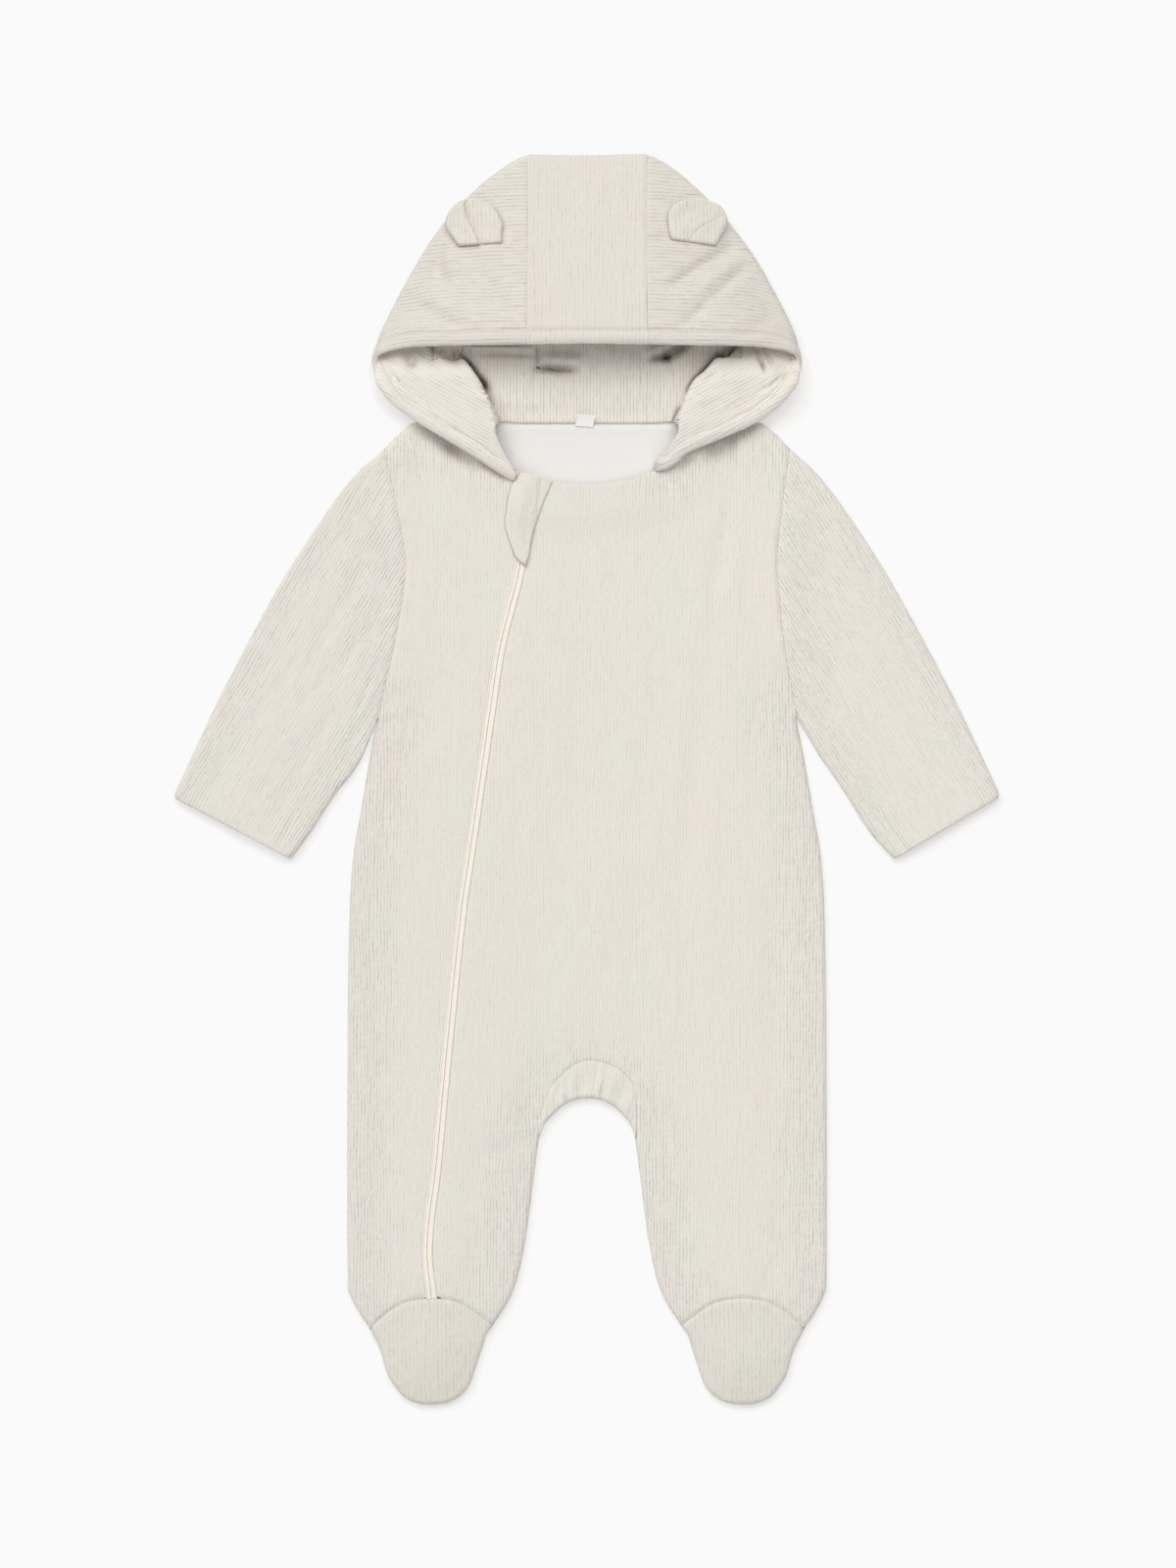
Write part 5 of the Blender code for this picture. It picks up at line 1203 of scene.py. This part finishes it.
def ear(side, sign, outside):
    """A double leaf of cloth on its dart seam: round tip, cupped hollow and a pinched pleat."""
    rows = np.linspace(0, 1, 56)
    across = np.concatenate([[0, 0.008, 0.02, 0.04], np.linspace(0.06, 0.94, 70), [0.96, 0.98, 0.992, 1]])
    left, right = (smooth(points, len(rows)) for points in EARS[side])
    plan = left[:, None] * (1 - across[None, :, None]) + right[:, None] * across[None, :, None]
    base = hood_top(plan[0], outside, sign)
    rest = hood_top(plan.reshape(-1, 2), outside, sign).reshape(plan.shape[:2])
    level = base[None, :] + (base.max() + EAR_LIFT - base)[None, :] * ease(rows, 0, 0.8)[:, None]
    level = rest + EAR_FOLLOW * (level - rest)
    bowl = np.sin(math.pi * across)[None, :] * np.sin(math.pi * np.clip(0.25 + 0.75 * rows, 0, 1))[:, None]
    wide = np.linalg.norm(right - left, axis=1)[:, None]
    tall = run_lengths(left)[-1]
    from_base = rows[:, None] * tall
    low = np.maximum(level - 0.5 * EAR_HOLLOW[side] * bowl, rest) + EAR_AIR
    low = rest - 0.3 + (low - rest + 0.3) * ease(from_base, -0.8, 2.0)
    inset = np.minimum(np.minimum(across, 1 - across)[None] * wide, (1 - rows)[:, None] * tall)
    ply = EAR_PLY * (0.25 + 0.75 * quarter(inset, 2.6)) * (0.35 + 0.65 * quarter(from_base, 1.4))
    ply = ply - 0.12 * EAR_HOLLOW[side] * bowl ** 2
    at, lean, strip, dip, reach = EAR_PLEAT[side]
    offset = (across[None, :] - at - lean * rows[:, None] ** 2) * wide
    fade = (1 - ease(rows, 0.7, 1.0))[:, None] * quarter(inset, 2)
    ply = ply + strip * fade * ease(-offset, 0.0, 1.0) * (0.7 + 0.3 * bell(offset + 2.5, 3.0))
    ply = ply - 0.3 * strip * fade * bell(offset + 7.0, 1.2) * ease(rows, 0.3, 0.7)[:, None]
    ply = ply - dip * fade * np.where(offset > 0, bell(offset, reach), 1 - ease(-offset, 0.0, 0.8))
    ply = ply + 0.35 * noise(plan[..., 0] / 3.4, plan[..., 1] / 8, 91 + sign) * quarter(inset, 3)
    ply = np.maximum(ply, 0.35)
    # Painted shade along one side edge near the base, where the ear stands off the hood, and along the base
    # seam
    edge_painted_shade = 0.4 * bell(across * wide, 0.45) * (1 - ease(rows, 0.5, 0.9))[:, None]
    painted_dark = np.maximum(edge_painted_shade, 0.15 * bell(from_base, 0.4))
    wall("ear_" + side, np.dstack([plan, low + ply]), np.dstack([plan, low]),
         np.dstack([plan, np.zeros(painted_dark.shape), painted_dark]))


def size_tab():
    """A white ribbon folded double and sewn into the nape seam."""
    width, length = TAB
    x, y = TAB_AT
    low = 2 * (HOOD_PLY + SEAM_GAP) + 0.15
    path = []
    start, end = TAB_FOLD
    for t in np.linspace(0, 1, 22):
        turn = math.pi * np.clip((t - start) / (end - start), 0, 1)
        if start <= t <= end:
            out = length / 2 + TAB_TURN * (math.sin(turn) - 1)
        else:
            out = -length / 2 + (length - TAB_TURN) * min(t, 1 - t) / start
        path.append((out, 0.45 * (1 - math.cos(turn))))
    path = np.array(path)
    columns = np.linspace(-0.5, 0.5, 8)[None]
    normal = left_of(unit(np.gradient(path, axis=0)))
    grids = []
    for half in (TAB_HALF, -TAB_HALF):
        out, up = np.hsplit(path - normal * half, 2)
        sag = 0.9 * ((out + length / 2) / length) ** 2 + 0.3 + 0.3 * columns ** 2
        grids.append(np.dstack([x + columns * width + 0.25 * out, y + out - 0.08 * columns * width,
                                low + up + sag]))
    wall("size_tab", *grids, grids[0][..., :2].copy())


# ---- scene ------------------------------------------------------------------------------------

CAMERA_HEIGHT = 5.0
PHOTO_SPAN = 0.896         # metres that the photograph's height covers
VIEW_CENTRE = (0.00056, -0.0028)
SENSOR = 24.0
FLOOR_GLOW = 0.40          # the backlit floor's own light
BACKDROP = 0.956           # the brightest the picture gets


def studio():
    """Pale floor, soft light from the upper left and the photograph's straight-down camera."""
    scene = bpy.context.scene
    size = 4.0
    mesh = bpy.data.meshes.new("floor")
    corners = [(-size, -size, 0), (size, -size, 0), (size, size, 0), (-size, size, 0)]
    mesh.from_pydata(corners, [], [(0, 1, 2, 3)])
    floor = bpy.data.objects.new("floor", mesh)
    floor.location.z = -0.0002
    pale = bpy.data.materials.new("floor")
    pale.use_nodes = True
    fill(pale.node_tree, pale.node_tree.nodes["Principled BSDF"], {
        "Base Color": (0.60, 0.60, 0.60, 1), "Roughness": 0.9, "Specular IOR Level": 0.1,
        "Emission Color": (1, 1, 1, 1), "Emission Strength": FLOOR_GLOW})
    mesh.materials.append(pale)
    scene.collection.objects.link(floor)
    world = bpy.data.worlds.new("studio")
    world.use_nodes = True
    fill(world.node_tree, world.node_tree.nodes["Background"],
         {"Color": (0.975, 0.96, 1.0, 1), "Strength": 0.31})
    scene.world = world
    for name, kind, energy, size, place in (("key", "SUN", 1.32, None, (-0.85, 0.95, 1.6)),
                                            ("overhead", "AREA", 26.5, 1.7, (0.5, 1.35, 2.7)),
                                            ("front", "AREA", 12.0, 2.2, (0.3, -1.55, 2.5))):
        light = bpy.data.lights.new(name, kind)
        light.energy = energy
        light.color = (1.0, 0.993, 0.975)
        if kind == "SUN":
            light.angle = math.radians(50)
        else:
            light.shape = "DISK"
            light.size = size
        lamp = bpy.data.objects.new(name, light)
        lamp.location = place
        lamp.rotation_euler = (-lamp.location).to_track_quat("-Z", "Y").to_euler()
        scene.collection.objects.link(lamp)
    camera = bpy.data.cameras.new("camera")
    camera.sensor_fit = "VERTICAL"
    camera.sensor_height = SENSOR
    camera.lens = SENSOR * CAMERA_HEIGHT / PHOTO_SPAN
    camera.clip_end = 100
    view = bpy.data.objects.new("camera", camera)
    view.location = (*VIEW_CENTRE, CAMERA_HEIGHT)
    scene.collection.objects.link(view)
    scene.camera = view
    scene.view_settings.view_transform = "Standard"
    scene.view_settings.look = "None"
    scene.view_settings.use_curve_mapping = True
    mapping = scene.view_settings.curve_mapping
    mapping.extend = "HORIZONTAL"
    curve = mapping.curves[3]
    curve.points[1].location = (1.0, BACKDROP)
    curve.points.new(BACKDROP, BACKDROP)
    for point in curve.points:
        point.handle_type = "VECTOR"
    mapping.update()


def moulded(name, colour):
    """Satin moulded plastic with a faint grain."""
    made = bpy.data.materials.new(name)
    made.use_nodes = True
    tree = made.node_tree
    grain = add(tree, "ShaderNodeTexNoise", {"Scale": 900.0, "Detail": 2.0})
    bump = add(tree, "ShaderNodeBump", {"Height": grain, "Strength": 0.3, "Distance": 0.05 * MM})
    fill(tree, tree.nodes["Principled BSDF"], {"Base Color": (*colour, 1), "Roughness": 0.42, "Normal": bump})
    return made


def main():
    torso()
    gusset()
    feet()
    for side, sign in SIDES:
        sleeve(side, sign)
    closure()
    outside, threads = hood()
    for side, sign in SIDES:
        ear(side, sign, outside)
    size_tab()
    frame["nodes"]["zip_slider"].material_slots[0].material = moulded("slider_plastic", (0.83, 0.77, 0.66))
    studio()


main()
